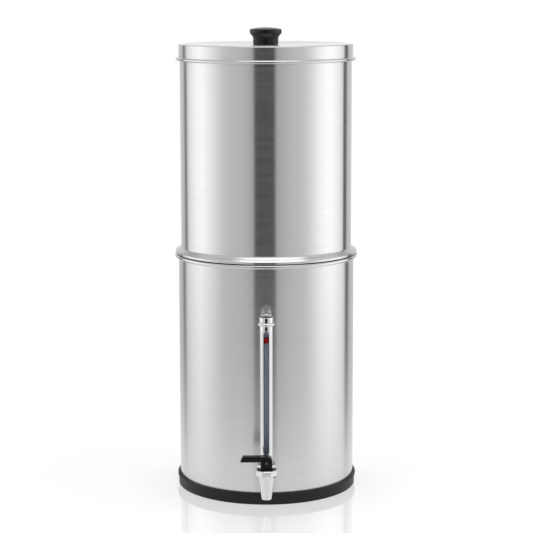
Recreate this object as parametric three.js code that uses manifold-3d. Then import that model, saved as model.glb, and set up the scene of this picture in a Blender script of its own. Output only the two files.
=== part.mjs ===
// Gravity water filter: two stacked steel chambers, filter elements, sight glass and tap.
// Millimetres, +Z up, the tap faces -Y, the whole stands centred on the origin.
import * as THREE from "three";
import { mergeVertices } from "three/addons/utils/BufferGeometryUtils.js";
import Module from "manifold-3d";

const wasm = await Module();
wasm.setup();

// Clearance of pieces that touch, and how far a cutter runs past what it cuts
const gap = 0.3;
const overrun = 2;
const weld = 0.0001;

// Facets round a turned piece, by its size
const wideSides = 44;
const knobSides = 24;
const elementSides = 18;
const middleSides = 16;
const smallSides = 12;

// Chambers and lid, all drawn from one steel sheet
const sheet = 0.8;
const lowerRadius = 125;
const lowerHeight = 333;
const lowerCorner = 4;
const lowerRimRoll = 3;
const footWidth = 20;
const basePanelRise = 3;
const nestClearance = 2.95;
const nestDepth = 21.6;
const upperRise = 293;
const upperCorner = 6;
const upperCurl = 1.6;
const flangeInset = 0.8;
const flangeEdge = 3.4;
const flangeSlope = 6.4;
const flangeRound = 1.6;
const lidClearance = 0.95;
const lidDepth = 22.4;
const lidShoulder = 1.6;
const lidDish = 0.8;
const lidRoll = 2.35;

// Rubber ring under the lower chamber
const ringSole = 4;
const ringShelf = 17;
const ringWall = 2.1;
const ringHeight = 16.6;
const ringLipProud = 1.3;
const ringLipHeight = 4.2;
const ringEdge = 0.9;

// Knob on the lid, and its screw and washer
const knobRadius = 22.5;
const knobHeight = 24.2;
const knobRimDrop = 2.7;
const knobRimHeight = 5.6;
const knobTaperHeight = 5.2;
const knobNeckRadius = 18;
const knobFootRadius = 17.8;
const knobFaceRadius = 14;
const knobFaceCrown = 0.9;
const knobEdge = 0.8;
const screwRadius = 2.4;
const screwReach = 12;
const screwHeadRadius = 4.6;
const screwHeadHeight = 3;
const screwSlotWidth = 1.2;
const screwSlotDepth = 1.2;
const knobWasherRadius = 8;
const knobWasherHeight = 1.2;

// Filter elements on the upper chamber's floor
const elementCount = 4;
const plugCount = 2;
const holeCount = elementCount + plugCount;
const elementSpacing = 6;
const elementWallClearance = 6.45;
const stemRadius = 5.5;
const stemReach = 25;
const stemBore = 1.9;
const elementLength = 242;
const elementWall = 9;
const elementCrown = 18;
const baseWall = 1.7;
const baseDisc = 3;
const baseCupDepth = 11;
const washerRadius = 12;
const washerHeight = 2;
const wingHub = 8;
const wingHubFootRadius = 7.2;
const wingHubHeight = 8;
const wingSpan = 17;
const wingHeight = 11;
const wingFootReach = 10.2;
const wingDrop = 3;
const wingThickness = 2.6;
const wingRound = 3.4;

// Plugs in the holes that hold no element
const plugHead = 10.5;
const plugHeadHeight = 3.6;
const plugHeadEdge = 1.8;
const plugReach = 16;
const plugNutFlats = 17;
const plugNutHeight = 6;

// Tee through the wall, which carries the sight glass and feeds the tap
const shankHeight = 52;
const shankRadius = 7.9;
const shankReach = 21;
const shankBore = 3.5;
const gasketRadius = 13;
const gasketThickness = 2;
const innerGasketThickness = 2.4;
const nutFlats = 26;
const nutHeight = 8;
const flangeDiscRadius = 13.5;
const flangeDiscThickness = 4;
const gaugeStand = 26;
const barrelRadius = 8;
const bossRadius = 12;
const bossTopRise = 13;
const bossBottomDrop = 5;
const bossEdge = 1;
const guardSeatDepth = 4.3;
const grommetSeatDepth = 1.7;
const nippleRadius = 5;
const nippleLength = 7.7;

// Guard, glass, grommets, float and cap of the sight glass
const guardRadius = 8.8;
const guardWall = 1.2;
const guardLength = 197;
const windowWidth = 7;
const windowFoot = 19;
const windowHead = 6.9;
const slitWidth = 2.6;
const slitWeb = 1;
const slitHead = 1.3;
const glassRadius = 6;
const glassWall = 1.3;
const grommetFloor = 3.2;
const grommetSleeve = 9.5;
const topGrommetSleeve = 8.8;
const topGrommetRoof = 7.2;
const floatRadius = 4.2;
const floatHeight = 7.4;
const floatDrop = 16.4;
const floatEdge = 0.9;
const capBeadRadius = 11.5;
const capBeadHeight = 4.1;
const capRadius = 9.4;
const capHeight = 12.2;
const capRoof = 1.5;
const capEdge = 0.7;
const capSlitFoot = 1.6;
const capSlitHead = 1.5;
const sealRadius = 8.2;
const sealHeight = 0.8;
const plugDomeRadius = 7.8;
const plugDomeHeight = 4.5;
const plugDomeEdge = 0.8;
const ventNeckRadius = 3.5;
const ventNeckLength = 7;
const ventBore = 0.9;

// Tap body: octagonal head with a recess for the bonnet, then the spout
const headFlats = 28;
const headHeight = 7.3;
const headEdge = 0.5;
const bonnetRecessFlats = 25.2;
const bonnetRecessDepth = 3.8;
const bonnetBore = 10;
const bonnetBoreDepth = 5.2;
const valveBore = 7.5;
const seatDrop = 4;
const seatLipRadius = 5.5;
const seatLipHeight = 1;
const throatRadius = 4;
const mouthRadius = 5;
const spoutDrop = 28.7;
const spoutTopRadius = 11.1;
const spoutTipRadius = 6.6;
const spoutShoulder = 3.9;
const spoutTipRound = 0.7;
const neckRadius = 8;
const spoutShoulderShare = 0.4;
const spoutHeightShares = [0.16, 0.35, 0.62];
const spoutBulgeShares = [0.84, 0.64, 0.4];

// Bonnet, spring, stem and seat cup
const bonnetFlange = 3.1;
const bonnetSkirt = 4.2;
const bonnetPad = 9;
const bonnetPadHeight = 1.4;
const bonnetRoof = 2.2;
const springBore = 6.5;
const cupRadius = 6.3;
const cupHeight = 5;
const cupSole = 0.9;
const cupTopRadius = 5.5;
const cupRim = 2.7;
const cupPocket = 2;
const stemFlangeRadius = 4.2;
const rodRadius = 2.3;
const springCoilRadius = 4.3;
const springWire = 0.45;
const springTurns = 4;
const eyeWidth = 7;
const eyeThickness = 4;
const eyeDepth = 5;

// Lever and its pin
const pinRise = 8.7;
const pinRadius = 1.5;
const pinProud = 0.3;
const hubWidth = 16;
const hubRound = 7;
const hubHeel = 1;
const armLength = 35.7;
const armSlant = 3.4;
const armRise = 0.8;
const armHeight = 7.5;
const armWidth = 11;
const armRound = 1.2;
const forkWidth = 4.6;
const leverThrow = 25;

// Heights, from the table up
const lowerFoot = ringSole + gap;
const lowerTop = lowerFoot + lowerHeight;
const flangeSeat = lowerTop + gap;
const upperFloorBottom = flangeSeat - nestDepth;
const upperFloorTop = upperFloorBottom + sheet;
const upperTop = flangeSeat + upperRise;
const lidEdgeTop = upperTop + gap + sheet;
const lidTop = lidEdgeTop - lidDish;
const bossTop = shankHeight + bossTopRise;
const guardFoot = bossTop - guardSeatDepth + gap;
const guardTop = guardFoot + guardLength;
const seatHeight = shankHeight - seatDrop + seatLipHeight;
const bonnetTop = bossTop - bonnetRecessDepth + gap + bonnetFlange;
const padTop = bonnetTop + bonnetPadHeight;
const hubFoot = padTop + gap;
const pinHeight = hubFoot + pinRise;

// Radii and distances from the chambers' axis
const upperRadius = lowerRadius - sheet - nestClearance;
const flangeRadius = lowerRadius - sheet + 2 * lowerRimRoll - flangeInset;
const lidInside = upperRadius + lidClearance;
const lidRadius = lidInside + sheet;
const lowerReach = lowerRadius - sheet + 2 * lowerRimRoll;
const gaugeDistance = lowerRadius + gaugeStand;
const valveDistance = gaugeDistance + bossRadius + gap + headFlats / 2;
const frontReach = valveDistance + headFlats / 2;

// Six equal places round the floor, so neighbours stand one hole circle's radius apart
const holeCircle = (2 * (upperRadius - sheet - elementWallClearance) + elementSpacing) / 3;
const cupOutside = (holeCircle - elementSpacing) / 2;
const elementRadius = cupOutside - baseWall - gap;

// Arc of a profile, as points about a centre; the angles are in degrees
function arc(centreX, centreY, radius, from, to, steps) {
  const points = [];
  for (let i = 0; i <= steps; i++) {
    const angle = THREE.MathUtils.degToRad(from + ((to - from) * i) / steps);
    points.push([centreX + radius * Math.cos(angle), centreY + radius * Math.sin(angle)]);
  }
  return points;
}

// Twice the area of an outline, positive when it runs anticlockwise
function turning(points) {
  return points.reduce((sum, [x, y], i) => {
    const [nextX, nextY] = points[(i + 1) % points.length];
    return sum + x * nextY - nextX * y;
  }, 0);
}

// Solid of a closed geometry, with its shared corners merged
function solid(geometry) {
  const bare = geometry.index ? geometry.toNonIndexed() : geometry.clone();
  bare.deleteAttribute("normal");
  bare.deleteAttribute("uv");
  const merged = mergeVertices(bare, weld);
  return new wasm.Manifold(
    new wasm.Mesh({
      numProp: 3,
      vertProperties: merged.attributes.position.array,
      triVerts: new Uint32Array(merged.index.array),
    }),
  );
}

// Turned piece: a profile of [radius, height] points swept round Z
function turned(profile, sides) {
  const touchesAxis = profile.some(([radius]) => radius === 0);
  const outward = turning(profile) > 0 ? profile : [...profile].reverse();
  const start = outward.findIndex(
    ([radius], i) => radius === 0 && outward.at(i - 1)[0] === 0,
  );
  const ordered = touchesAxis
    ? [...outward.slice(start), ...outward.slice(0, start)]
    : [...outward, outward[0]];
  const line = ordered.map(([radius, height]) => new THREE.Vector2(radius, height));
  return solid(new THREE.LatheGeometry(line, sides).rotateX(Math.PI / 2));
}

// Plate: an outline in X and Y, raised from one height to another
function plate(outline, bottom, top) {
  const shape = new THREE.Shape(outline.map(([x, y]) => new THREE.Vector2(x, y)));
  const depth = top - bottom;
  const geometry = new THREE.ExtrudeGeometry(shape, { depth, bevelEnabled: false });
  return solid(geometry.translate(0, 0, bottom));
}

// Outline of a regular polygon that stands on a flat, by its width across flats
function flatsOutline(sides, acrossFlats) {
  const radius = acrossFlats / 2 / Math.cos(Math.PI / sides);
  return arc(0, 0, radius, 180 / sides - 90, 270 + 180 / sides, sides).slice(0, sides);
}

// Plain round bar along Z
function bar(radius, bottom, top, sides) {
  return turned([[0, bottom], [radius, bottom], [radius, top], [0, top]], sides);
}

// Turns an upright solid to lie along -Y at a height: what was height is now distance
function lyingToFront(upright, height) {
  return upright.rotate([90, 0, 0]).translate([0, 0, height]);
}

// Turns an outline drawn in X and Z, raised along Z, to stand across Y
function standing(flat) {
  return flat.rotate([90, 0, 0]);
}

function meshOf(name, shape, finish) {
  const { vertProperties, triVerts } = shape.getMesh();
  const geometry = new THREE.BufferGeometry();
  geometry.setAttribute("position", new THREE.BufferAttribute(vertProperties, 3));
  geometry.setIndex(new THREE.BufferAttribute(triVerts, 1));
  const mesh = new THREE.Mesh(geometry, new THREE.MeshStandardMaterial(finish));
  mesh.name = name;
  return mesh;
}

// Finishes
const brushedSteel = { color: 0xbfbfc0, roughness: 0.32, metalness: 1 };
const chrome = { color: 0xdcdddf, roughness: 0.08, metalness: 1 };
const plainSteel = { color: 0xb4b4b6, roughness: 0.28, metalness: 1 };
const blackRubber = { color: 0x262626, roughness: 0.72, metalness: 0 };
const blackPlastic = { color: 0x161616, roughness: 0.3, metalness: 0 };
const whitePlastic = { color: 0xe8e8e4, roughness: 0.45, metalness: 0 };
const ceramic = { color: 0xf1eee6, roughness: 0.85, metalness: 0 };
const clearTube = { color: 0xdfe8ee, roughness: 0.05, metalness: 0, transparent: true, opacity: 0.35 };
const redPlastic = { color: 0xb00d12, roughness: 0.4, metalness: 0 };

// Rubber ring: a sole under the chamber's foot and a wall with a proud lip round it
function baseRing() {
  const inside = lowerRadius + gap;
  const outside = inside + ringWall;
  const lip = outside + ringLipProud;
  const lipFoot = ringHeight - ringLipHeight;
  const cornerCentre = lowerRadius - lowerCorner;
  return turned(
    [
      [lowerRadius - ringShelf, 0],
      [outside - ringEdge, 0],
      [outside, ringEdge],
      [outside, lipFoot - ringEdge],
      [lip, lipFoot],
      [lip, ringHeight - ringEdge],
      [lip - ringEdge, ringHeight],
      [inside, ringHeight],
      ...arc(cornerCentre, lowerFoot + lowerCorner, lowerCorner + gap, 0, -90, 2),
      [lowerRadius - ringShelf, ringSole],
    ],
    wideSides,
  );
}

// Lower chamber: foot, raised base panel, wall, rolled rim and the hole for the tap
function lowerChamber() {
  const inside = lowerRadius - sheet;
  const cornerCentre = lowerRadius - lowerCorner;
  const cornerHeight = lowerFoot + lowerCorner;
  const panelEdge = cornerCentre - footWidth;
  const panelFoot = panelEdge - basePanelRise;
  const rollCentre = inside + lowerRimRoll;
  const rollHeight = lowerTop - lowerRimRoll;
  const rollStart = -180 + THREE.MathUtils.radToDeg(Math.acos((lowerRimRoll - sheet) / lowerRimRoll));
  const shell = turned(
    [
      [0, lowerFoot + basePanelRise],
      [panelFoot, lowerFoot + basePanelRise],
      [panelEdge, lowerFoot],
      ...arc(cornerCentre, cornerHeight, lowerCorner, -90, 0, 2),
      ...arc(rollCentre, rollHeight, lowerRimRoll, rollStart, 180, 7),
      ...arc(cornerCentre, cornerHeight, lowerCorner - sheet, 0, -90, 2),
      [panelEdge, lowerFoot + sheet],
      [panelFoot, lowerFoot + basePanelRise + sheet],
      [0, lowerFoot + basePanelRise + sheet],
    ],
    wideSides,
  );
  const hole = bar(shankRadius + gap, inside - overrun, lowerRadius + overrun, smallSides);
  return shell.subtract(lyingToFront(hole, shankHeight));
}

// Washer bedded against the outside of the curved wall
function outerGasket() {
  const face = lowerRadius + gap + gasketThickness;
  const back = lowerRadius - overrun;
  const washer = washerBlank(gasketRadius, back, face);
  const wall = bar(lowerRadius + gap, 0, shankHeight + lowerRadius, wideSides);
  return washer.subtract(wall);
}

// Washer bedded against the inside of the curved wall
function innerGasket() {
  const bed = lowerRadius - sheet - gap;
  const washer = washerBlank(gasketRadius, bed - innerGasketThickness, bed + overrun);
  return washer.intersect(bar(bed, 0, shankHeight + lowerRadius, wideSides));
}

function washerBlank(radius, from, to) {
  const hole = shankRadius + gap;
  const ring = turned([[hole, from], [radius, from], [radius, to], [hole, to]], middleSides);
  return lyingToFront(ring, shankHeight);
}

// Hexagonal lock nut on the shank, inside the chamber
function shankNut() {
  const face = lowerRadius - sheet - gap - innerGasketThickness - gap;
  const body = plate(flatsOutline(6, nutFlats), face - nutHeight, face);
  const hole = bar(shankRadius + gap, face - nutHeight - overrun, face + overrun, smallSides);
  return lyingToFront(body.subtract(hole), shankHeight);
}

// Tee: shank, wall flange, barrel and the upright socket, all bored through
function gaugeFitting() {
  const flangeBack = lowerRadius + gap + gasketThickness + gap;
  const flangeFront = flangeBack + flangeDiscThickness;
  const front = gaugeDistance + bossRadius;
  const shankEnd = lowerRadius - shankReach;
  const lying = turned(
    [
      [shankBore, shankEnd],
      [shankRadius - bossEdge, shankEnd],
      [shankRadius, shankEnd + bossEdge],
      [shankRadius, flangeBack],
      [flangeDiscRadius, flangeBack],
      [flangeDiscRadius, flangeFront - bossEdge],
      [flangeDiscRadius - bossEdge, flangeFront],
      [barrelRadius, flangeFront],
      [barrelRadius, front],
      [shankBore, front],
    ],
    middleSides,
  );
  const boss = turned(
    [
      [0, shankHeight - bossBottomDrop],
      [bossRadius - bossEdge, shankHeight - bossBottomDrop],
      [bossRadius, shankHeight - bossBottomDrop + bossEdge],
      [bossRadius, bossTop - bossEdge],
      [bossRadius - bossEdge, bossTop],
      [0, bossTop],
    ],
    middleSides,
  ).translate([0, -gaugeDistance, 0]);
  const guardSeat = bossTop - guardSeatDepth;
  const grommetSeat = guardSeat - grommetSeatDepth;
  const socket = turned(
    [
      [0, shankHeight],
      [shankBore, shankHeight],
      [shankBore, grommetSeat],
      [guardRadius - guardWall, grommetSeat],
      [guardRadius - guardWall, guardSeat],
      [guardRadius + gap, guardSeat],
      [guardRadius + gap, bossTop + overrun],
      [0, bossTop + overrun],
    ],
    middleSides,
  ).translate([0, -gaugeDistance, 0]);
  const waterway = bar(shankBore, gaugeDistance - bossRadius - overrun, front + overrun, middleSides);
  const nippleHole = bar(nippleRadius + gap, front - nippleLength - gap, front + overrun, middleSides);
  return lyingToFront(lying, shankHeight)
    .add(boss)
    .subtract(socket)
    .subtract(lyingToFront(waterway, shankHeight))
    .subtract(lyingToFront(nippleHole, shankHeight));
}

// Window cutter through the front of an upright tube: an outline in X and Z
function frontCutter(outline, radius) {
  return standing(plate(outline, radius / 2, radius + overrun));
}

// Upright slit with square ends
function slitOutline(foot, head) {
  const half = slitWidth / 2;
  return [[-half, foot], [half, foot], [half, head], [-half, head]];
}

// Guard: a chrome tube with a long round-ended window and a slit above it
function gaugeShield() {
  const inside = guardRadius - guardWall;
  const tube = turned(
    [[inside, guardFoot], [guardRadius, guardFoot], [guardRadius, guardTop], [inside, guardTop]],
    middleSides,
  );
  const half = windowWidth / 2;
  const foot = guardFoot + windowFoot;
  const head = guardTop - windowHead;
  const window = [
    ...arc(0, head - half, half, 0, 180, 8),
    ...arc(0, foot + half, half, 180, 360, 8),
  ];
  return tube
    .subtract(frontCutter(window, guardRadius))
    .subtract(frontCutter(slitOutline(head + slitWeb, guardTop - slitHead), guardRadius));
}

// Lower grommet: a floor with a hole, and a sleeve that grips the glass
function bottomGrommet() {
  const foot = bossTop - guardSeatDepth - grommetSeatDepth + gap;
  const outside = guardRadius - guardWall - gap;
  const floor = foot + grommetFloor;
  const top = floor + grommetSleeve;
  return turned(
    [
      [shankBore, foot],
      [outside, foot],
      [outside, top],
      [glassRadius + gap, top],
      [glassRadius + gap, floor],
      [shankBore, floor],
    ],
    middleSides,
  );
}

// Glass, from the floor of the lower grommet to the roof of the upper one
function gaugeTube() {
  const foot = bossTop - guardSeatDepth - grommetSeatDepth + gap + grommetFloor + gap;
  const top = topGrommetFoot() + topGrommetSleeve - gap;
  const inside = glassRadius - glassWall;
  return turned([[inside, foot], [glassRadius, foot], [glassRadius, top], [inside, top]], middleSides);
}

function topGrommetFoot() {
  return guardTop - windowHead + slitWeb + gap;
}

// Upper grommet: a sleeve over the glass, and a roof with the vent's hole
function topGrommet() {
  const foot = topGrommetFoot();
  const roof = foot + topGrommetSleeve;
  const outside = guardRadius - guardWall - gap;
  return turned(
    [
      [glassRadius + gap, foot],
      [outside, foot],
      [outside, roof + topGrommetRoof],
      [ventNeckRadius + gap, roof + topGrommetRoof],
      [ventNeckRadius + gap, roof],
      [glassRadius + gap, roof],
    ],
    middleSides,
  );
}

// Cap: a beaded collar and a slit drum that close the guard
function gaugeCap() {
  const foot = guardTop + gap;
  const shoulder = foot + capBeadHeight;
  const top = foot + capHeight;
  const roof = top - capRoof;
  const inside = guardRadius - guardWall;
  const beadRound = capBeadHeight / 2;
  const hole = ventNeckRadius + gap;
  const drum = turned(
    [
      [inside, foot],
      ...arc(capBeadRadius - beadRound, foot + beadRound, beadRound, -90, 90, 4),
      [capRadius, shoulder],
      [capRadius, top - capEdge],
      [capRadius - capEdge, top],
      [hole, top],
      [hole, roof],
      [inside, roof],
    ],
    middleSides,
  );
  return drum.subtract(frontCutter(slitOutline(shoulder + capSlitFoot, top - capSlitHead), capRadius));
}

function capSeal() {
  const foot = guardTop + gap + capHeight + gap;
  const hole = ventNeckRadius + gap;
  const top = foot + sealHeight;
  return turned([[hole, foot], [sealRadius, foot], [sealRadius, top], [hole, top]], smallSides);
}

// Vent plug: a low dome on a hollow neck
function ventPlug() {
  const foot = guardTop + gap + capHeight + gap + sealHeight + gap;
  const crown = plugDomeHeight - plugDomeEdge;
  return turned(
    [
      [ventBore, foot - ventNeckLength],
      [ventNeckRadius, foot - ventNeckLength],
      [ventNeckRadius, foot],
      [plugDomeRadius, foot],
      ...domePoints(plugDomeRadius, foot + plugDomeEdge, crown, ventBore, 4),
    ],
    smallSides,
  );
}

// Quarter of an ellipse, from the rim of a dome up to its hole
function domePoints(radius, height, crown, hole, steps) {
  const last = Math.acos(hole / radius);
  const points = [];
  for (let i = 0; i <= steps; i++) {
    const angle = (last * i) / steps;
    points.push([i < steps ? radius * Math.cos(angle) : hole, height + crown * Math.sin(angle)]);
  }
  return points;
}

function gaugeFloat() {
  const top = guardTop - floatDrop;
  const foot = top - floatHeight;
  return turned(
    [
      [0, foot],
      [floatRadius - floatEdge, foot],
      [floatRadius, foot + floatEdge],
      [floatRadius, top - floatEdge],
      [floatRadius - floatEdge, top],
      [0, top],
    ],
    smallSides,
  );
}

// Ring of the spout, part octagon and part circle: roundShare 0 is a true octagon
function spoutRing(halfWidth, roundShare, height, sides) {
  const ring = [];
  for (let i = 0; i < sides; i++) {
    const angle = (2 * Math.PI * i) / sides;
    const offset = (((angle + Math.PI / 8) % (Math.PI / 4)) + Math.PI / 4) % (Math.PI / 4);
    const octagon = 1 / Math.cos(offset - Math.PI / 8);
    const radius = halfWidth * (roundShare + (1 - roundShare) * octagon);
    ring.push(new THREE.Vector3(radius * Math.cos(angle), radius * Math.sin(angle), height));
  }
  return ring;
}

// Skin over a stack of rings, listed from the lowest up, closed at both ends
function lofted(rings) {
  const sides = rings[0].length;
  const corners = [];
  const triangle = (a, b, c) => corners.push(...a.toArray(), ...b.toArray(), ...c.toArray());
  const centre = (ring) => new THREE.Vector3(0, 0, ring[0].z);
  for (let i = 0; i < sides; i++) {
    const j = (i + 1) % sides;
    for (let k = 0; k + 1 < rings.length; k++) {
      triangle(rings[k][i], rings[k][j], rings[k + 1][j]);
      triangle(rings[k][i], rings[k + 1][j], rings[k + 1][i]);
    }
    triangle(centre(rings[0]), rings[0][j], rings[0][i]);
    triangle(centre(rings.at(-1)), rings.at(-1)[i], rings.at(-1)[j]);
  }
  const geometry = new THREE.BufferGeometry();
  geometry.setAttribute("position", new THREE.Float32BufferAttribute(corners, 3));
  return solid(geometry);
}

// Tap body: octagonal head, spout, neck and nipple, with the valve's bores
function tapBody() {
  const half = headFlats / 2;
  const headFoot = bossTop - headHeight;
  const shoulder = headFoot - spoutShoulder;
  const tip = shankHeight - spoutDrop;
  const fall = shoulder - tip;
  const shrink = spoutTopRadius - spoutTipRadius;
  const sides = 24;
  const ring = (width, share, height) => spoutRing(width, share, height, sides);
  const bends = spoutHeightShares.map((share, i) => {
    return ring(spoutTipRadius + shrink * spoutBulgeShares[i], 1, shoulder - fall * share);
  });
  const outside = lofted([
    ring(spoutTipRadius - spoutTipRound, 1, tip),
    ring(spoutTipRadius, 1, tip + spoutTipRound),
    ...bends.reverse(),
    ring(spoutTopRadius, spoutShoulderShare, shoulder),
    ring(half, 0, headFoot),
    ring(half, 0, bossTop - headEdge),
    ring(half - headEdge, 0, bossTop),
  ]);
  const neckFront = half + gap;
  const neck = turned(
    [
      [0, 0],
      [neckRadius, 0],
      [neckRadius, half],
      [nippleRadius, half],
      [nippleRadius, half + nippleLength],
      [0, half + nippleLength],
    ],
    middleSides,
  );
  const feed = bar(shankBore, 0, neckFront + nippleLength + overrun, middleSides);
  const recessFloor = bossTop - bonnetRecessDepth;
  const chamberTop = recessFloor - bonnetBoreDepth;
  const seatFloor = shankHeight - seatDrop;
  const recess = plate(flatsOutline(8, bonnetRecessFlats), recessFloor, bossTop + overrun);
  const bores = turned(
    [
      [0, tip - overrun],
      [mouthRadius, tip - overrun],
      [mouthRadius, tip],
      [throatRadius, seatHeight],
      [seatLipRadius, seatHeight],
      [seatLipRadius, seatFloor],
      [valveBore, seatFloor],
      [valveBore, chamberTop],
      [bonnetBore, chamberTop],
      [bonnetBore, recessFloor + overrun],
      [0, recessFloor + overrun],
    ],
    middleSides,
  );
  return outside
    .add(lyingToBack(neck))
    .subtract(recess)
    .subtract(bores)
    .subtract(lyingToBack(feed));
}

// Turns an upright solid to lie along +Y at the height of the shank
function lyingToBack(upright) {
  return upright.rotate([-90, 0, 0]).translate([0, 0, shankHeight]);
}

// Bonnet: octagonal flange, threaded skirt, spring bore and the pad under the lever
function tapBonnet() {
  const flangeFoot = bonnetTop - bonnetFlange;
  const skirtFoot = flangeFoot - bonnetSkirt;
  const flange = plate(flatsOutline(8, bonnetRecessFlats - 2 * gap), flangeFoot, bonnetTop);
  const core = turned(
    [
      [0, skirtFoot],
      [bonnetBore - gap, skirtFoot],
      [bonnetBore - gap, flangeFoot + bonnetFlange / 2],
      [bonnetPad, bonnetTop],
      [bonnetPad, padTop],
      [0, padTop],
    ],
    middleSides,
  );
  const inside = turned(
    [
      [0, skirtFoot - overrun],
      [springBore, skirtFoot - overrun],
      [springBore, bonnetTop - bonnetRoof],
      [rodRadius + gap, bonnetTop - bonnetRoof],
      [rodRadius + gap, padTop + overrun],
      [0, padTop + overrun],
    ],
    smallSides,
  );
  return flange.add(core).subtract(inside);
}

// Seat cup: soft rubber that wraps the stem's flange and closes the seat
function seatCup() {
  const foot = seatHeight + gap;
  const top = foot + cupHeight;
  const pocketFoot = foot + cupSole;
  const pocketTop = pocketFoot + cupPocket;
  return turned(
    [
      [0, foot],
      [cupRadius, foot],
      [cupRadius, foot + cupRim],
      [cupTopRadius, top],
      [rodRadius + gap, top],
      [rodRadius + gap, pocketTop],
      [stemFlangeRadius + gap, pocketTop],
      [stemFlangeRadius + gap, pocketFoot],
      [0, pocketFoot],
    ],
    smallSides,
  );
}

// Stem: foot flange, round rod and the flat eye that takes the lever's pin
function tapStem() {
  const foot = seatHeight + gap + cupSole + gap;
  const flangeTop = foot + cupPocket - 2 * gap;
  const eyeFoot = pinHeight - eyeDepth;
  const rod = turned(
    [
      [0, foot],
      [stemFlangeRadius, foot],
      [stemFlangeRadius, flangeTop],
      [rodRadius, flangeTop],
      [rodRadius, pinHeight],
      [0, pinHeight],
    ],
    smallSides,
  );
  const half = eyeWidth / 2;
  const outline = [[-half, eyeFoot], [half, eyeFoot], ...arc(0, pinHeight, half, 0, 180, 8)];
  const eye = standing(plate(outline, -eyeThickness / 2, eyeThickness / 2));
  const hole = bar(pinRadius + gap, -hubWidth, hubWidth, smallSides);
  return rod.add(eye).subtract(standing(hole).translate([0, 0, pinHeight]));
}

// Spring: one round wire, wound from the seat cup up to the bonnet's roof
function tapSpring() {
  const foot = seatHeight + gap + cupHeight + gap + springWire;
  const top = bonnetTop - bonnetRoof - gap - springWire;
  class Coil extends THREE.Curve {
    getPoint(share) {
      const angle = 2 * Math.PI * springTurns * share;
      const x = springCoilRadius * Math.cos(angle);
      const y = springCoilRadius * Math.sin(angle);
      return new THREE.Vector3(x, y, foot + (top - foot) * share);
    }
  }
  const section = new THREE.Shape(
    arc(0, 0, springWire, 0, 360, 5).slice(0, 5).map(([x, y]) => new THREE.Vector2(x, y)),
  );
  const steps = 8 * springTurns;
  return solid(new THREE.ExtrudeGeometry(section, { steps, extrudePath: new Coil() }));
}

// Lever: a forked hub with a cam heel, and the flat arm that the hand presses
function tapLever() {
  const half = hubWidth / 2;
  const armFoot = pinHeight + armRise;
  const top = armFoot + armHeight;
  const hub = [
    [-half + hubHeel, hubFoot],
    [half - hubHeel, hubFoot],
    [half, hubFoot + hubHeel],
    ...arc(half - hubRound, top - hubRound, hubRound, 0, 90, 5),
    [-half, top],
    [-half, hubFoot + hubHeel],
  ];
  const tipX = -armLength;
  const arm = [
    [0, armFoot],
    [0, top],
    [tipX + armSlant + armRound, top],
    [tipX + armSlant, top - armRound],
    [tipX, armFoot + armRound],
    [tipX + armRound, armFoot],
  ];
  const throwShare = Math.cos(THREE.MathUtils.degToRad(leverThrow));
  const forkHalf = eyeWidth / 2 / throwShare + gap;
  const fork = [
    [-half - overrun, hubFoot - overrun],
    [forkHalf, hubFoot - overrun],
    ...arc(0, pinHeight, forkHalf, 0, 180, 6),
    [-half - overrun, pinHeight],
  ];
  const hole = bar(pinRadius + gap, -hubWidth, hubWidth, smallSides);
  return standing(plate(hub, -half, half))
    .add(standing(plate(arm, -armWidth / 2, armWidth / 2)))
    .subtract(standing(plate(fork, -forkWidth / 2, forkWidth / 2)))
    .subtract(standing(hole).translate([0, 0, pinHeight]));
}

function leverPin() {
  const reach = hubWidth / 2 + pinProud;
  return standing(bar(pinRadius, -reach, reach, smallSides)).translate([0, 0, pinHeight]);
}

// Upper chamber: floor with six holes, a pressed stop flange and a curled top edge
function upperChamber() {
  const inside = upperRadius - sheet;
  const cornerCentre = upperRadius - upperCorner;
  const cornerHeight = upperFloorBottom + upperCorner;
  const curlCentre = upperRadius - upperCurl;
  const curlHeight = upperTop - upperCurl;
  const curlEnd = 360 - THREE.MathUtils.radToDeg(Math.acos((upperCurl - sheet) / upperCurl));
  const edgeTop = flangeSeat + flangeEdge;
  const slopeTop = edgeTop + flangeSlope;
  let shell = turned(
    [
      [0, upperFloorBottom],
      ...arc(cornerCentre, cornerHeight, upperCorner, -90, 0, 2),
      [upperRadius, flangeSeat],
      [flangeRadius - flangeRound / 2, flangeSeat],
      [flangeRadius, flangeSeat + flangeRound / 2],
      [flangeRadius, edgeTop],
      [flangeRadius - flangeRound, edgeTop + flangeRound],
      [upperRadius, slopeTop],
      ...arc(curlCentre, curlHeight, upperCurl, 0, curlEnd, 5),
      [inside, slopeTop - sheet / 2],
      [flangeRadius - flangeRound - sheet, edgeTop + flangeRound - sheet / 2],
      [flangeRadius - sheet, edgeTop],
      [flangeRadius - sheet, flangeSeat + flangeRound],
      [flangeRadius - flangeRound, flangeSeat + sheet],
      [inside, flangeSeat + sheet],
      ...arc(cornerCentre, cornerHeight, upperCorner - sheet, 0, -90, 2),
      [0, upperFloorTop],
    ],
    wideSides,
  );
  const hole = bar(stemRadius + gap, upperFloorBottom - overrun, upperFloorTop + overrun, smallSides);
  for (let i = 0; i < holeCount; i++) shell = shell.subtract(hole.translate(holePlace(i)));
  return shell;
}

// Centre of a hole in the upper chamber's floor
function holePlace(index) {
  const angle = (2 * Math.PI * index) / holeCount;
  return [holeCircle * Math.cos(angle), holeCircle * Math.sin(angle), 0];
}

// Flat rubber washer on the floor, under an element or a plug
function floorWasher() {
  const foot = upperFloorTop + gap;
  const hole = stemRadius + gap;
  const top = foot + washerHeight;
  return turned([[hole, foot], [washerRadius, foot], [washerRadius, top], [hole, top]], smallSides);
}

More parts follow.
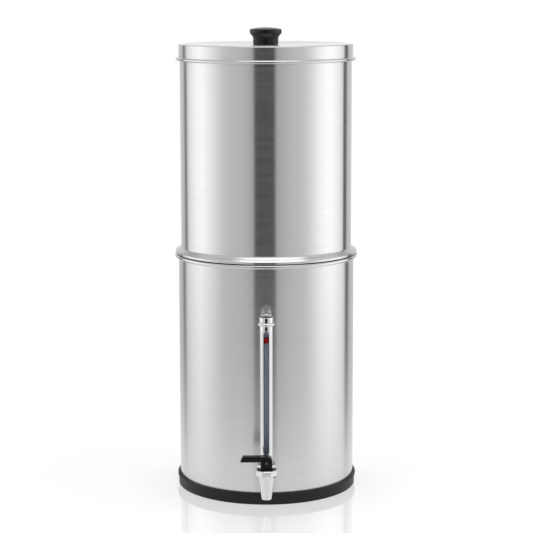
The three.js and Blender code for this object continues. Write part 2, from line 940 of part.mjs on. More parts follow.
// Base of an element: a cup that the ceramic is set in, on a hollow threaded stem
function elementBase() {
  const discFoot = upperFloorTop + gap + washerHeight + gap;
  const discTop = discFoot + baseDisc;
  const stemFoot = upperFloorBottom - stemReach;
  return turned(
    [
      [stemBore, stemFoot],
      [stemRadius, stemFoot],
      [stemRadius, discFoot],
      [cupOutside, discFoot],
      [cupOutside, discTop + baseCupDepth],
      [elementRadius + gap, discTop + baseCupDepth],
      [elementRadius + gap, discTop],
      [stemBore, discTop],
    ],
    elementSides,
  );
}

// Ceramic element: a thick-walled candle with a domed end, open at its foot
function filterElement() {
  const foot = upperFloorTop + gap + washerHeight + gap + baseDisc + gap;
  const shoulder = foot + elementLength - elementCrown;
  const inside = elementRadius - elementWall;
  return turned(
    [
      [inside, foot],
      [elementRadius, foot],
      ...domePoints(elementRadius, shoulder, elementCrown, 0, 4),
      [0, shoulder],
      [inside, shoulder],
    ],
    elementSides,
  );
}

// Wing nut: a round hub with two flat wings that point down
function wingNut() {
  const top = upperFloorBottom - gap;
  const foot = top - wingHubHeight;
  const hub = turned(
    [[0, foot], [wingHubFootRadius, foot], [wingHub, top], [0, top]],
    smallSides,
  );
  const wingTop = top - wingDrop;
  const low = wingTop - wingHeight;
  const wing = [
    [0, foot],
    [wingFootReach, low],
    [wingSpan - wingRound, low],
    [wingSpan, low + wingRound],
    [wingSpan, wingTop - wingRound],
    [wingSpan - wingRound, wingTop],
    [0, wingTop],
  ];
  const right = standing(plate(wing, -wingThickness / 2, wingThickness / 2));
  const hole = bar(stemRadius + gap, low - overrun, top + overrun, smallSides);
  return hub.add(right).add(right.rotate([0, 0, 180])).subtract(hole);
}

// Blocking plug: a round head on a plain stem
function holePlug() {
  const headFoot = upperFloorTop + gap + washerHeight + gap;
  return turned(
    [
      [0, upperFloorBottom - plugReach],
      [stemRadius, upperFloorBottom - plugReach],
      [stemRadius, headFoot],
      [plugHead, headFoot],
      ...domePoints(plugHead, headFoot + plugHeadEdge, plugHeadHeight - plugHeadEdge, 0, 3),
    ],
    smallSides,
  );
}

function plugNut() {
  const top = upperFloorBottom - gap;
  const foot = top - plugNutHeight;
  const hole = bar(stemRadius + gap, foot - overrun, top + overrun, smallSides);
  return plate(flatsOutline(6, plugNutFlats), foot, top).subtract(hole);
}

// Point at half the radius of a crowned or dished face, where a quarter of its crown is lost
function crownMiddle(radius, top, crown) {
  return [radius / 2, top - crown / 4];
}

// Lid: a shallow dished cover with a rolled hem, and the knob's screw hole
function lid() {
  const shoulderCentre = lidRadius - lidShoulder;
  const shoulderHeight = lidEdgeTop - lidShoulder;
  const hemHeight = lidEdgeTop - lidDepth + lidRoll;
  const hemCentre = lidInside + lidRoll;
  const hemEnd = 540 - THREE.MathUtils.radToDeg(Math.acos((lidRoll - sheet) / lidRoll));
  const hole = screwRadius + gap;
  const [middle, middleTop] = crownMiddle(shoulderCentre, lidTop, -lidDish);
  return turned(
    [
      [hole, lidTop - sheet],
      [middle, middleTop - sheet],
      ...arc(shoulderCentre, shoulderHeight, lidShoulder - sheet, 90, 0, 2),
      ...arc(hemCentre, hemHeight, lidRoll, 180, hemEnd, 7),
      ...arc(shoulderCentre, shoulderHeight, lidShoulder, 0, 90, 3),
      [middle, middleTop],
      [hole, lidTop],
    ],
    wideSides,
  );
}

// Knob: a waisted black grip with a wide rim and a slightly crowned face
function lidKnob() {
  const foot = lidTop + gap;
  const top = foot + knobHeight;
  const rimTop = top - knobRimDrop;
  const rimFoot = rimTop - knobRimHeight;
  const neckTop = rimFoot - knobTaperHeight;
  const bore = screwRadius + gap;
  const boreTop = foot + screwReach;
  return turned(
    [
      [bore, foot],
      [knobFootRadius - knobEdge, foot],
      [knobFootRadius, foot + knobEdge],
      [knobNeckRadius, neckTop],
      [knobRadius, rimFoot],
      [knobRadius, rimTop - knobEdge],
      [knobRadius - knobEdge, rimTop],
      [knobFaceRadius, top - knobFaceCrown],
      crownMiddle(knobFaceRadius, top, knobFaceCrown),
      [0, top],
      [0, boreTop],
      [bore, boreTop],
    ],
    knobSides,
  );
}

function knobWasher() {
  const top = lidTop - sheet - gap;
  const foot = top - knobWasherHeight;
  const hole = screwRadius + gap;
  return turned([[hole, foot], [knobWasherRadius, foot], [knobWasherRadius, top], [hole, top]], smallSides);
}

// Slotted screw, driven up through the lid into the knob
function knobScrew() {
  const headTop = lidTop - sheet - gap - knobWasherHeight - gap;
  const headFoot = headTop - screwHeadHeight;
  const end = lidTop + gap + screwReach - gap;
  const round = screwHeadHeight / 2;
  const blank = turned(
    [
      [0, headFoot],
      [screwHeadRadius - round, headFoot],
      [screwHeadRadius, headFoot + round],
      [screwHeadRadius, headTop],
      [screwRadius, headTop],
      [screwRadius, end],
      [0, end],
    ],
    smallSides,
  );
  const half = screwSlotWidth / 2;
  const reach = screwHeadRadius + overrun;
  const slot = [[-reach, -half], [reach, -half], [reach, half], [-reach, half]];
  return blank.subtract(plate(slot, headFoot - overrun, headFoot + screwSlotDepth));
}

// Lower assembly, about the chambers' axis
const lowerGroup = new THREE.Group();
lowerGroup.add(
  meshOf("base_ring", baseRing(), blackRubber),
  meshOf("lower_chamber", lowerChamber(), brushedSteel),
  meshOf("shank_gasket_outer", outerGasket(), blackRubber),
  meshOf("shank_gasket_inner", innerGasket(), blackRubber),
  meshOf("shank_nut", shankNut(), plainSteel),
  meshOf("gauge_fitting", gaugeFitting(), chrome),
);

// Sight glass, about its own upright axis
const gaugeGroup = new THREE.Group();
gaugeGroup.position.y = -gaugeDistance;
gaugeGroup.add(
  meshOf("gauge_bottom_grommet", bottomGrommet(), blackRubber),
  meshOf("gauge_tube", gaugeTube(), clearTube),
  meshOf("gauge_top_grommet", topGrommet(), blackRubber),
  meshOf("gauge_shield", gaugeShield(), chrome),
  meshOf("gauge_cap", gaugeCap(), chrome),
  meshOf("gauge_cap_seal", capSeal(), blackRubber),
  meshOf("gauge_vent_plug", ventPlug(), chrome),
  meshOf("gauge_float", gaugeFloat(), redPlastic),
);

// Tap, about the valve's upright axis
const tapGroup = new THREE.Group();
tapGroup.position.y = -valveDistance;
tapGroup.add(
  meshOf("tap_body", tapBody(), chrome),
  meshOf("tap_bonnet", tapBonnet(), blackPlastic),
  meshOf("tap_spring", tapSpring(), plainSteel),
  meshOf("tap_seat_cup", seatCup(), blackRubber),
  meshOf("tap_stem", tapStem(), plainSteel),
  meshOf("tap_lever", tapLever(), blackPlastic),
  meshOf("tap_lever_pin", leverPin(), plainSteel),
);

// Upper chamber: elements in the holes to the front and back, plugs in the two at the sides
const upperGroup = new THREE.Group();
upperGroup.add(meshOf("upper_chamber", upperChamber(), brushedSteel));
let elements = 0;
let plugs = 0;
for (let i = 0; i < holeCount; i++) {
  const place = new THREE.Group();
  place.position.set(...holePlace(i));
  if (i % (holeCount / plugCount) === 0) {
    plugs += 1;
    place.add(
      meshOf("hole_plug_" + plugs, holePlug(), whitePlastic),
      meshOf("plug_washer_" + plugs, floorWasher(), blackRubber),
      meshOf("plug_nut_" + plugs, plugNut(), whitePlastic),
    );
  } else {
    elements += 1;
    place.add(
      meshOf("filter_element_" + elements, filterElement(), ceramic),
      meshOf("element_base_" + elements, elementBase(), whitePlastic),
      meshOf("element_washer_" + elements, floorWasher(), blackRubber),
      meshOf("wing_nut_" + elements, wingNut(), whitePlastic),
    );
  }
  upperGroup.add(place);
}

// Lid with its knob
const lidGroup = new THREE.Group();
lidGroup.add(
  meshOf("lid", lid(), brushedSteel),
  meshOf("lid_knob", lidKnob(), blackPlastic),
  meshOf("lid_knob_washer", knobWasher(), plainSteel),
  meshOf("lid_knob_screw", knobScrew(), plainSteel),
);

// The whole, moved back so that it stands centred on the origin, tap included
const waterFilter = new THREE.Group();
waterFilter.position.y = (frontReach - lowerReach) / 2;
waterFilter.add(lowerGroup, gaugeGroup, tapGroup, upperGroup, lidGroup);

export default waterFilter;
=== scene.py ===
import math

import bpy
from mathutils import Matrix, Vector


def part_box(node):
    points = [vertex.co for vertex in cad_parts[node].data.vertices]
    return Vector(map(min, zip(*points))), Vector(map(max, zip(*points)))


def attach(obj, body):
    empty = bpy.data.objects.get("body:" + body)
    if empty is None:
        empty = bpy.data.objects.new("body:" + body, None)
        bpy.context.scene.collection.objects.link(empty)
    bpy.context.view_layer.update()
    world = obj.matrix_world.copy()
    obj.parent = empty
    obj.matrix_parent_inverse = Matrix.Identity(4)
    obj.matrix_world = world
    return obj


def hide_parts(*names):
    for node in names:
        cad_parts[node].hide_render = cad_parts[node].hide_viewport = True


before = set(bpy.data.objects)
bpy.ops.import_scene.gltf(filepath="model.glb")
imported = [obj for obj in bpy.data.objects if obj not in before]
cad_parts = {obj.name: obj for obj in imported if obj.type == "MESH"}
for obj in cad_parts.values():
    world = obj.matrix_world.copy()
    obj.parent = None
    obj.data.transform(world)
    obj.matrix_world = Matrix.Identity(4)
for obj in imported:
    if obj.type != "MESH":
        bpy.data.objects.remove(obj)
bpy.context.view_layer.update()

# Base ring
# The whole filter stands on one ring of black rubber, moulded with a flat sole under the
# lower chamber's foot, a thin upstand round its corner and a proud lip. It is pushed on.
ring_low, ring_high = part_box("base_ring")
upright = Vector((0, 0, 1))
touch = 1e-5
weld = 1e-6
wide_steps = 192
noise_low, noise_high = 0.3, 0.7


def axis_of(low, high):
    """The upright middle line of a box, given as its point at table height."""
    return Vector((low.x + high.x, low.y + high.y, 0)) / 2


chamber_axis = axis_of(ring_low, ring_high)
lip_radius = ring_high.x - chamber_axis.x
ring_wall_radius = lip_radius - 0.0013
ring_bed_radius = lip_radius - 0.0034
ring_sole_radius = lip_radius - 0.0207
ring_lip_foot = ring_high.z - 0.0042
ring_lip_slope = 0.0005
ring_sole_top = 0.004
ring_sole_edge = 0.0009
ring_slope_edge = 0.0004
ring_lip_edge = 0.0012
ring_bed_rounding = 0.0043
rubber_black = (0.011, 0.011, 0.012)
rubber_dark = (0.008, 0.008, 0.009)


def draw_outline(name, corners):
    """Starts a piece as one corner and extrudes it along the outline; leaves it being edited."""
    bpy.ops.object.select_all(action="DESELECT")
    bpy.ops.mesh.primitive_plane_add(size=0.001, location=corners[0])
    piece = bpy.context.object
    piece.name = name
    bpy.ops.object.transform_apply()
    bpy.ops.object.mode_set(mode="EDIT")
    bpy.ops.mesh.select_mode(type="VERT")
    bpy.ops.mesh.merge(type="CENTER")
    for start, end in zip(corners, corners[1:]):
        bpy.ops.mesh.extrude_vertices_move(TRANSFORM_OT_translate={"value": end - start})
    return piece


def pick(piece, kind, test):
    """Selects the corners, edges or faces of a piece being edited whose corners all pass a test."""
    bpy.ops.mesh.select_mode(type=kind)
    bpy.ops.mesh.select_all(action="DESELECT")
    bpy.ops.object.mode_set(mode="OBJECT")
    mesh = piece.data
    parts = {"VERT": mesh.vertices, "EDGE": mesh.edges, "FACE": mesh.polygons}[kind]
    for part in parts:
        keys = [part.index] if kind == "VERT" else part.vertices
        part.select = all(test(mesh.vertices[key].co) for key in keys)
    bpy.ops.object.mode_set(mode="EDIT")


def round_off(piece, corners, outline, segments):
    """Rounds off each corner of an outline being edited that has a third number, by that much."""
    for rounding in sorted({corner[2] for corner in outline if len(corner) > 2}):
        rounded = [c for c, given in zip(corners, outline) if given[2:] == (rounding,)]
        pick(piece, "VERT", lambda corner: any((corner - c).length < touch for c in rounded))
        bpy.ops.mesh.bevel(offset=rounding, segments=segments, affect="VERTICES")


def turn(name, outline, foot=chamber_axis, along=upright, steps=wide_steps):
    """Spins an outline of (radius, height) corners round an axis, as on a lathe. An outline
    that starts off the axis is closed."""
    if outline[0][0] > 0:
        outline = [*outline, outline[0]]
    corners = [foot + Vector((corner[0], 0, 0)) + along * corner[1] for corner in outline]
    piece = draw_outline(name, corners)
    round_off(piece, corners, outline, 5)
    bpy.ops.mesh.select_all(action="SELECT")
    bpy.ops.mesh.spin(steps=steps, angle=math.tau, center=foot, axis=along)
    bpy.ops.mesh.select_all(action="SELECT")
    bpy.ops.mesh.remove_doubles(threshold=weld)
    bpy.ops.mesh.delete_loose()
    bpy.ops.mesh.select_all(action="SELECT")
    bpy.ops.mesh.normals_make_consistent(inside=False)
    bpy.ops.object.mode_set(mode="OBJECT")
    return piece


def layer(tree, kind, inputs=None, **settings):
    """Adds a node to a finish. Each input takes a value, another node or one of its outputs."""
    made = tree.nodes.new("ShaderNode" + kind)
    for name, value in settings.items():
        setattr(made, name, value)
    for socket, value in (inputs or {}).items():
        if isinstance(value, bpy.types.Node):
            value = value.outputs[0]
        if isinstance(value, bpy.types.NodeSocket):
            tree.links.new(value, made.inputs[socket])
        else:
            made.inputs[socket].default_value = value
    return made


def finish(name, colour, roughness, metallic=0.0, shine=0.5):
    """A new material with its colour, roughness, metal and shine on the shader's own sockets."""
    made = bpy.data.materials.new(name)
    made.use_nodes = True
    shader = made.node_tree.nodes["Principled BSDF"]
    shader.inputs["Base Color"].default_value = (*colour, 1)
    shader.inputs["Roughness"].default_value = roughness
    shader.inputs["Metallic"].default_value = metallic
    shader.inputs["Specular IOR Level"].default_value = shine
    return made


def drive(made, socket, source):
    """Lets a node set one of the shader's sockets."""
    tree = made.node_tree
    tree.links.new(source.outputs[0], tree.nodes["Principled BSDF"].inputs[socket])


def grain(made, fineness, upright_fineness=None, detail=3.0):
    """Noise on the piece's own coordinates, this many times a metre."""
    place = layer(made.node_tree, "TexCoord").outputs["Object"]
    scale = (fineness, fineness, upright_fineness or fineness)
    mapped = layer(made.node_tree, "Mapping", {"Vector": place, "Scale": scale})
    return layer(made.node_tree, "TexNoise", {"Vector": mapped, "Scale": 1.0, "Detail": detail})


def vary_gloss(made, pattern, low, high):
    """Lets a pattern move the roughness between low and high."""
    drive(made, "Roughness", layer(made.node_tree, "MapRange", {
        "Value": pattern, "From Min": noise_low, "From Max": noise_high,
        "To Min": low, "To Max": high,
    }))


def tint(made, pattern, dark, light):
    """Lets a pattern move the colour between two colours."""
    blend = layer(made.node_tree, "ValToRGB", {"Fac": pattern})
    ends = zip(blend.color_ramp.elements, (noise_low, noise_high), (dark, light))
    for element, position, colour in ends:
        element.position = position
        element.color = (*colour, 1)
    drive(made, "Base Color", blend)


def relief(made, pattern, depth):
    """Lets a pattern raise the surface by a small depth."""
    drive(made, "Normal", layer(made.node_tree, "Bump", {"Distance": depth, "Height": pattern}))


def dress(piece, made, body, slot_name, *nodes, crease=30):
    """Smooths a finished piece, gives it its material and its body, and hides the frame's solids
    that it stands for. The slot name is not used.
    """
    bpy.ops.object.select_all(action="DESELECT")
    piece.select_set(True)
    bpy.context.view_layer.objects.active = piece
    bpy.ops.object.shade_smooth_by_angle(angle=math.radians(crease))
    piece.data.materials.clear()
    piece.data.materials.append(made)
    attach(piece, body)
    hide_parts(*nodes)


rubber = finish("black rubber", rubber_black, 0.46, shine=0.25)
rubber_cloud = grain(rubber, 60)
vary_gloss(rubber, rubber_cloud, 0.42, 0.52)
tint(rubber, rubber_cloud, rubber_dark, rubber_black)
relief(rubber, grain(rubber, 1400), 0.00003)

base_ring = turn("moulded_base_ring", [
    (ring_sole_radius, 0),
    (ring_wall_radius, 0, ring_sole_edge),
    (ring_wall_radius, ring_lip_foot - ring_lip_slope, ring_slope_edge),
    (lip_radius, ring_lip_foot, ring_slope_edge),
    (lip_radius, ring_high.z, ring_lip_edge),
    (ring_bed_radius, ring_high.z),
    (ring_bed_radius, ring_sole_top, ring_bed_rounding),
    (ring_sole_radius, ring_sole_top),
])
dress(base_ring, rubber, "base", "black_rubber", "base_ring")

# Lower chamber
# Stainless steel sheet, drawn to a can with a raised middle to its base, brushed in rings
# and rolled outwards at the rim. One hole near the foot takes the tee of the tap.
chamber_low, chamber_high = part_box("lower_chamber")
shank_low, shank_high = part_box("shank_nut")
shank_height = (shank_low.z + shank_high.z) / 2
forward = Vector((0, 1, 0))
sheet = 0.0008
rim_roll = 0.003
foot_rounding = 0.004
panel_rise = 0.003
panel_edge_radius = 0.101
panel_radius = 0.098
panel_rounding = 0.002
rim_radius = chamber_high.x - chamber_axis.x
wall_radius = rim_radius - 2 * rim_roll + sheet
rim_centre_radius = wall_radius - sheet + rim_roll
rim_centre_height = chamber_high.z - rim_roll
rim_tuck_angle = -180 + math.degrees(math.acos((rim_roll - sheet) / rim_roll))
shank_hole_radius = 0.0082
hole_margin = 0.0125
drill_reach = 0.01
steel_grey = (0.71, 0.71, 0.71)
steel_roughness = 0.20
hair_fineness = (14, 14, 2600)
band_fineness = (5, 5, 240)


def arc(radius, height, size, start, end, steps=10):
    """Corners along an arc about (radius, height), between two angles in degrees."""
    angles = [math.radians(start + (end - start) * step / steps) for step in range(steps + 1)]
    return [(radius + size * math.cos(a), height + size * math.sin(a)) for a in angles]


def combine(piece, tool, operation):
    """Cuts a tool shape out of a piece, joins it on or keeps what both share."""
    modifier = piece.modifiers.new(operation, "BOOLEAN")
    modifier.object = tool
    modifier.operation = operation
    bpy.context.view_layer.objects.active = piece
    bpy.ops.object.modifier_apply(modifier=modifier.name)
    bpy.data.objects.remove(tool)


def rod(radius, start, end, sides=48):
    """A round tool shape between two points."""
    bpy.ops.object.select_all(action="DESELECT")
    turned = upright.rotation_difference(end - start).to_euler()
    bpy.ops.mesh.primitive_cylinder_add(
        vertices=sides, radius=radius, depth=(end - start).length,
        location=(start + end) / 2, rotation=turned,
    )
    bpy.ops.object.transform_apply()
    return bpy.context.object


def drill(piece, radius, start, end, sides=48):
    """Takes a round hole out of a piece, from one point to another."""
    combine(piece, rod(radius, start, end, sides), "DIFFERENCE")


def from_axis(tree, foot):
    """Where a point of the surface lies from an upright axis, and how far off that is in plan."""
    place = layer(tree, "TexCoord").outputs["Object"]
    offset = layer(tree, "VectorMath", {0: place, 1: foot}, operation="SUBTRACT")
    flat = layer(tree, "VectorMath", {0: offset, 1: (1, 1, 0)}, operation="MULTIPLY")
    reach = layer(tree, "VectorMath", {0: flat}, operation="LENGTH")
    return layer(tree, "SeparateXYZ", {0: offset}).outputs, reach.outputs["Value"]


def brushed(name):
    """Steel brushed in rings about the chambers' axis: the hair lines run round the walls and
    in circles over flat faces, and the gloss stretches across them."""
    made = finish(name, steel_grey, steel_roughness, 1.0)
    tree = made.node_tree
    offset, reach = from_axis(tree, chamber_axis)
    across = layer(tree, "Math", {0: offset["Z"], 1: reach})
    joined = layer(tree, "CombineXYZ", {"X": offset["X"], "Y": offset["Y"], "Z": across})
    lines = []
    for fineness in (hair_fineness, band_fineness):
        scaled = layer(tree, "VectorMath", {0: joined, 1: fineness}, operation="MULTIPLY")
        lines.append(layer(tree, "TexNoise", {"Vector": scaled, "Scale": 1.0, "Detail": 4.0}))
    hair, bands = lines
    vary_gloss(made, bands, steel_roughness - 0.02, steel_roughness + 0.02)
    tint(made, hair, [c * 0.97 for c in steel_grey], [c * 1.02 for c in steel_grey])
    relief(made, hair, 0.0000015)
    shader = tree.nodes["Principled BSDF"]
    shader.inputs["Anisotropic"].default_value = 0.93
    shader.inputs["Anisotropic Rotation"].default_value = 0.25
    drive(made, "Tangent", layer(tree, "Tangent", direction_type="RADIAL", axis="Z"))
    return made


chamber_steel = brushed("brushed steel")
foot_centre = (wall_radius - foot_rounding, chamber_low.z + foot_rounding)
panel_top = chamber_low.z + panel_rise
lower_chamber = turn("drawn_lower_chamber", [
    (0, panel_top),
    (panel_radius, panel_top, panel_rounding),
    (panel_edge_radius, chamber_low.z, panel_rounding),
    *arc(*foot_centre, foot_rounding, -90, 0),
    (wall_radius, shank_height - hole_margin),
    (wall_radius, shank_height + hole_margin),
    *arc(rim_centre_radius, rim_centre_height, rim_roll, rim_tuck_angle, 180, 26),
    (wall_radius - sheet, shank_height + hole_margin),
    (wall_radius - sheet, shank_height - hole_margin),
    *arc(*foot_centre, foot_rounding - sheet, 0, -90),
    (panel_edge_radius, chamber_low.z + sheet, panel_rounding),
    (panel_radius, panel_top + sheet, panel_rounding),
    (0, panel_top + sheet),
])
front_wall = chamber_axis + Vector((0, -wall_radius, shank_height))
drill_travel = forward * drill_reach
drill(lower_chamber, shank_hole_radius, front_wall - drill_travel, front_wall + drill_travel)
dress(lower_chamber, chamber_steel, "base", "brushed_steel", "lower_chamber")

# Gaskets and lock nut of the tee
# Two rubber washers bed against the wall, one outside and one inside, and a plain steel
# hexagon nut on the threaded shank squeezes them from inside the chamber.
gasket_low, gasket_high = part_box("shank_gasket_outer")
inner_low, inner_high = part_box("shank_gasket_inner")
gasket_radius = (gasket_high.x - gasket_low.x) / 2
gasket_edge = 0.0004
gap = 0.0003
overrun = 0.002
wall_margin = 0.03
wall_sides = 256
nut_flats = shank_high.z - shank_low.z
nut_chamfer = 0.0008
shank_axis = Vector((0, 0, shank_height))
steel_plain = (0.62, 0.62, 0.63)


def gasket(name, face, back):
    """A flat rubber washer with a rounded face, deep enough to be trimmed to the curved wall."""
    return turn(name, [
        (shank_hole_radius, face),
        (gasket_radius, face, gasket_edge),
        (gasket_radius, back),
        (shank_hole_radius, back),
    ], foot=shank_axis, along=forward, steps=64)


def prism(name, sides, flats, start, end, spin=0.0):
    """A bar with flat sides between two points along one of the three axes."""
    piece = rod(flats / 2 / math.cos(math.pi / sides), start, end, sides)
    piece.name = name
    bpy.ops.object.mode_set(mode="EDIT")
    bpy.ops.mesh.select_all(action="SELECT")
    way = "XYZ"[max(range(3), key=lambda i: abs((end - start)[i]))]
    bpy.ops.transform.rotate(value=spin, orient_axis=way, center_override=(start + end) / 2)
    bpy.ops.object.mode_set(mode="OBJECT")
    return piece


def soften(piece, width, rounds, kind="EDGE", test=lambda corner: True):
    """Bevels a piece along the edges or round the faces that a test picks, or all over."""
    bpy.ops.object.mode_set(mode="EDIT")
    pick(piece, kind, test)
    bpy.ops.mesh.bevel(offset=width, segments=rounds, affect="EDGES")
    bpy.ops.object.mode_set(mode="OBJECT")


wall_foot = chamber_axis + upright * (shank_height - wall_margin)
wall_head = chamber_axis + upright * (shank_height + wall_margin)
outer_gasket = gasket("outer_shank_gasket", gasket_low.y, gasket_high.y + overrun)
drill(outer_gasket, wall_radius + gap, wall_foot, wall_head, wall_sides)
dress(outer_gasket, rubber, "base", "black_rubber", "shank_gasket_outer")

inner_gasket = gasket("inner_shank_gasket", inner_high.y, inner_low.y - overrun)
bed_tool = rod(wall_radius - sheet - gap, wall_foot, wall_head, wall_sides)
combine(inner_gasket, bed_tool, "INTERSECT")
dress(inner_gasket, rubber, "base", "black_rubber", "shank_gasket_inner")

plain_steel = finish("plain steel", steel_plain, 0.3, 1.0)
vary_gloss(plain_steel, grain(plain_steel, 500), 0.24, 0.36)
nut_back = Vector((0, shank_low.y, shank_height))
nut_front = Vector((0, shank_high.y, shank_height))
lock_nut = prism("shank_lock_nut", 6, nut_flats, nut_back, nut_front)
soften(lock_nut, nut_chamfer, 2)
drill(lock_nut, shank_hole_radius, nut_back - drill_travel, nut_front + drill_travel)
dress(lock_nut, plain_steel, "base", "plain_steel", "shank_nut", crease=40)

# Tee
# Chrome-plated brass in one casting: a threaded shank through the wall, a round wall flange,
# a barrel, and an upright socket that carries the sight glass and feeds the tap in front.
tee_low, tee_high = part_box("gauge_fitting")
tube_low, tube_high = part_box("gauge_tube")
guard_low, guard_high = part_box("gauge_shield")
grommet_low, grommet_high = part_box("gauge_bottom_grommet")
gauge_axis = axis_of(tube_low, tube_high)
boss_radius = gauge_axis.y - tee_low.y
boss_skin = 0.0001
boss_foot = shank_height - 0.005
boss_top = boss_foot + 0.018
boss_foot_edge = 0.001
boss_top_edge = 0.0005
flange_radius = tee_high.x
flange_back = gasket_low.y - gap
flange_face = flange_back - 0.004
flange_edge = 0.001
barrel_radius = 0.008
barrel_rounding = 0.0006
shank_radius = 0.0079
shank_core_radius = 0.0072
shank_relief = 0.001
thread_pitch = 0.0015
waterway_radius = 0.0035
feed_radius = waterway_radius - 0.0004
feed_foot = shank_height - 0.0007
cross_drill_radius = waterway_radius - 0.0002
cross_drill_reach = 0.001
tee_front = gauge_axis.y - boss_radius
bore_end = gauge_axis.y + boss_radius - 0.002
nipple_radius = 0.005
nipple_seat = tee_front + 0.008
guard_radius = guard_high.x - gauge_axis.x
guard_wall = 0.0012
guard_bore = guard_radius - guard_wall
chrome_dark = (0.76, 0.76, 0.77)
chrome_bright = (0.80, 0.80, 0.81)


def plated(name):
    """Chrome plate, faintly uneven in its gloss and colour."""
    made = finish(name, chrome_bright, 0.1, 1.0)
    cloud = grain(made, 90)
    vary_gloss(made, cloud, 0.08, 0.13)
    tint(made, cloud, chrome_dark, chrome_bright)
    return made


def thread(core, crest, start, end):
    """Corners down the flank of a threaded length: one crest and one root for each pitch."""
    turns = int(abs(end - start) / thread_pitch)
    step = (end - start) / turns
    corners = []
    for i in range(turns):
        corners.append((core, start + step * i))
        corners.append((crest, start + step * (i + 0.5)))
    return [*corners, (core, end)]


chrome = plated("chrome plate")
tee = turn("chromed_tee", [
    (waterway_radius, tee_high.y),
    *thread(shank_core_radius, shank_radius, tee_high.y, flange_back + shank_relief),
    (shank_core_radius, flange_back),
    (flange_radius, flange_back),
    (flange_radius, flange_face, flange_edge),
    (barrel_radius, flange_face, barrel_rounding),
    (barrel_radius, tee_front),
    (0, tee_front),
    (0, bore_end),
    (waterway_radius, bore_end),
], foot=shank_axis, along=forward, steps=64)
boss = turn("boss", [
    (0, boss_foot),
    (boss_radius - boss_skin, boss_foot, boss_foot_edge),
    (boss_radius - boss_skin, boss_top, boss_top_edge),
    (0, boss_top),
], foot=gauge_axis, steps=96)
combine(tee, boss, "UNION")
socket = turn("socket", [
    (0, feed_foot),
    (feed_radius, feed_foot),
    (feed_radius, grommet_low.z - gap),
    (guard_bore, grommet_low.z - gap),
    (guard_bore, guard_low.z - gap),
    (guard_radius + gap, guard_low.z - gap),
    (guard_radius + gap, boss_top + overrun),
    (0, boss_top + overrun),
], foot=gauge_axis, steps=96)
combine(tee, socket, "DIFFERENCE")
waterway_back = shank_axis + forward * (gauge_axis.y + boss_radius + cross_drill_reach)
waterway_front = shank_axis + forward * (tee_front - overrun)
drill(tee, cross_drill_radius, waterway_back, waterway_front, 50)
drill(tee, nipple_radius + gap, shank_axis + forward * nipple_seat, waterway_front)
bpy.ops.object.mode_set(mode="EDIT")
bpy.ops.mesh.select_all(action="SELECT")
bpy.ops.mesh.remove_doubles(threshold=touch)
bpy.ops.mesh.dissolve_degenerate(threshold=weld)
bpy.ops.mesh.delete_loose()
bpy.ops.object.mode_set(mode="OBJECT")
dress(tee, chrome, "base", "chrome", "gauge_fitting")

# Sight glass, its grommets and its float
# A clear tube stands in a rubber grommet at each end. A small red float of solid plastic
# rides loose inside it on the water, and shows how full the lower chamber is.
float_low, float_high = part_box("gauge_float")
head_low, head_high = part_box("gauge_top_grommet")
glass_radius = tube_high.x - gauge_axis.x
glass_bore = glass_radius - 0.0013
glass_seat = glass_radius + gap
glass_edge = 0.0003
grommet_radius = grommet_high.x - gauge_axis.x
grommet_floor = tube_low.z - gap
grommet_edge = 0.0004
float_radius = float_high.x - gauge_axis.x
float_edge = 0.0009
vent_radius = 0.0038
vent_roof = tube_high.z + gap
glass_clear = (0.86, 0.885, 0.94)
float_red = (0.34, 0.003, 0.005)



def disc(name, inner, outer, low, high, rounding, **placing):
    """A flat or long round piece whose outer edges are rounded, with a hole unless inner is 0."""
    return turn(name, [
        (inner, low), (outer, low, rounding), (outer, high, rounding), (inner, high),
    ], **placing)


foot_grommet = turn("foot_grommet", [
    (waterway_radius, grommet_low.z),
    (grommet_radius, grommet_low.z, grommet_edge),
    (grommet_radius, grommet_high.z, grommet_edge),
    (glass_seat, grommet_high.z),
    (glass_seat, grommet_floor),
    (waterway_radius, grommet_floor),
], foot=gauge_axis, steps=48)
dress(foot_grommet, rubber, "base", "black_rubber", "gauge_bottom_grommet")

head_grommet = turn("head_grommet", [
    (glass_seat, head_low.z),
    (grommet_radius, head_low.z, grommet_edge),
    (grommet_radius, head_high.z, grommet_edge),
    (vent_radius, head_high.z),
    (vent_radius, vent_roof),
    (glass_seat, vent_roof),
], foot=gauge_axis, steps=48)
dress(head_grommet, rubber, "base", "black_rubber", "gauge_top_grommet")

glass = finish("clear tube", glass_clear, 0.03)
glass_shader = glass.node_tree.nodes["Principled BSDF"]
glass_shader.inputs["Transmission Weight"].default_value = 1.0
glass_shader.inputs["IOR"].default_value = 1.05
vary_gloss(glass, grain(glass, 300, 20), 0.01, 0.05)
sight_tube = turn("sight_tube", [
    (glass_bore, tube_low.z, glass_edge),
    (glass_radius, tube_low.z, glass_edge),
    (glass_radius, tube_high.z, glass_edge),
    (glass_bore, tube_high.z, glass_edge),
], foot=gauge_axis, steps=64)
dress(sight_tube, glass, "base", "clear_tube", "gauge_tube")

red_plastic = finish("red plastic", float_red, 0.3, shine=0.1)
vary_gloss(red_plastic, grain(red_plastic, 400), 0.25, 0.4)
level_float = disc(
    "level_float", 0, float_radius, float_low.z, float_high.z, float_edge,
    foot=gauge_axis, steps=48,
)
dress(level_float, red_plastic, "float", "red_plastic", "gauge_float")

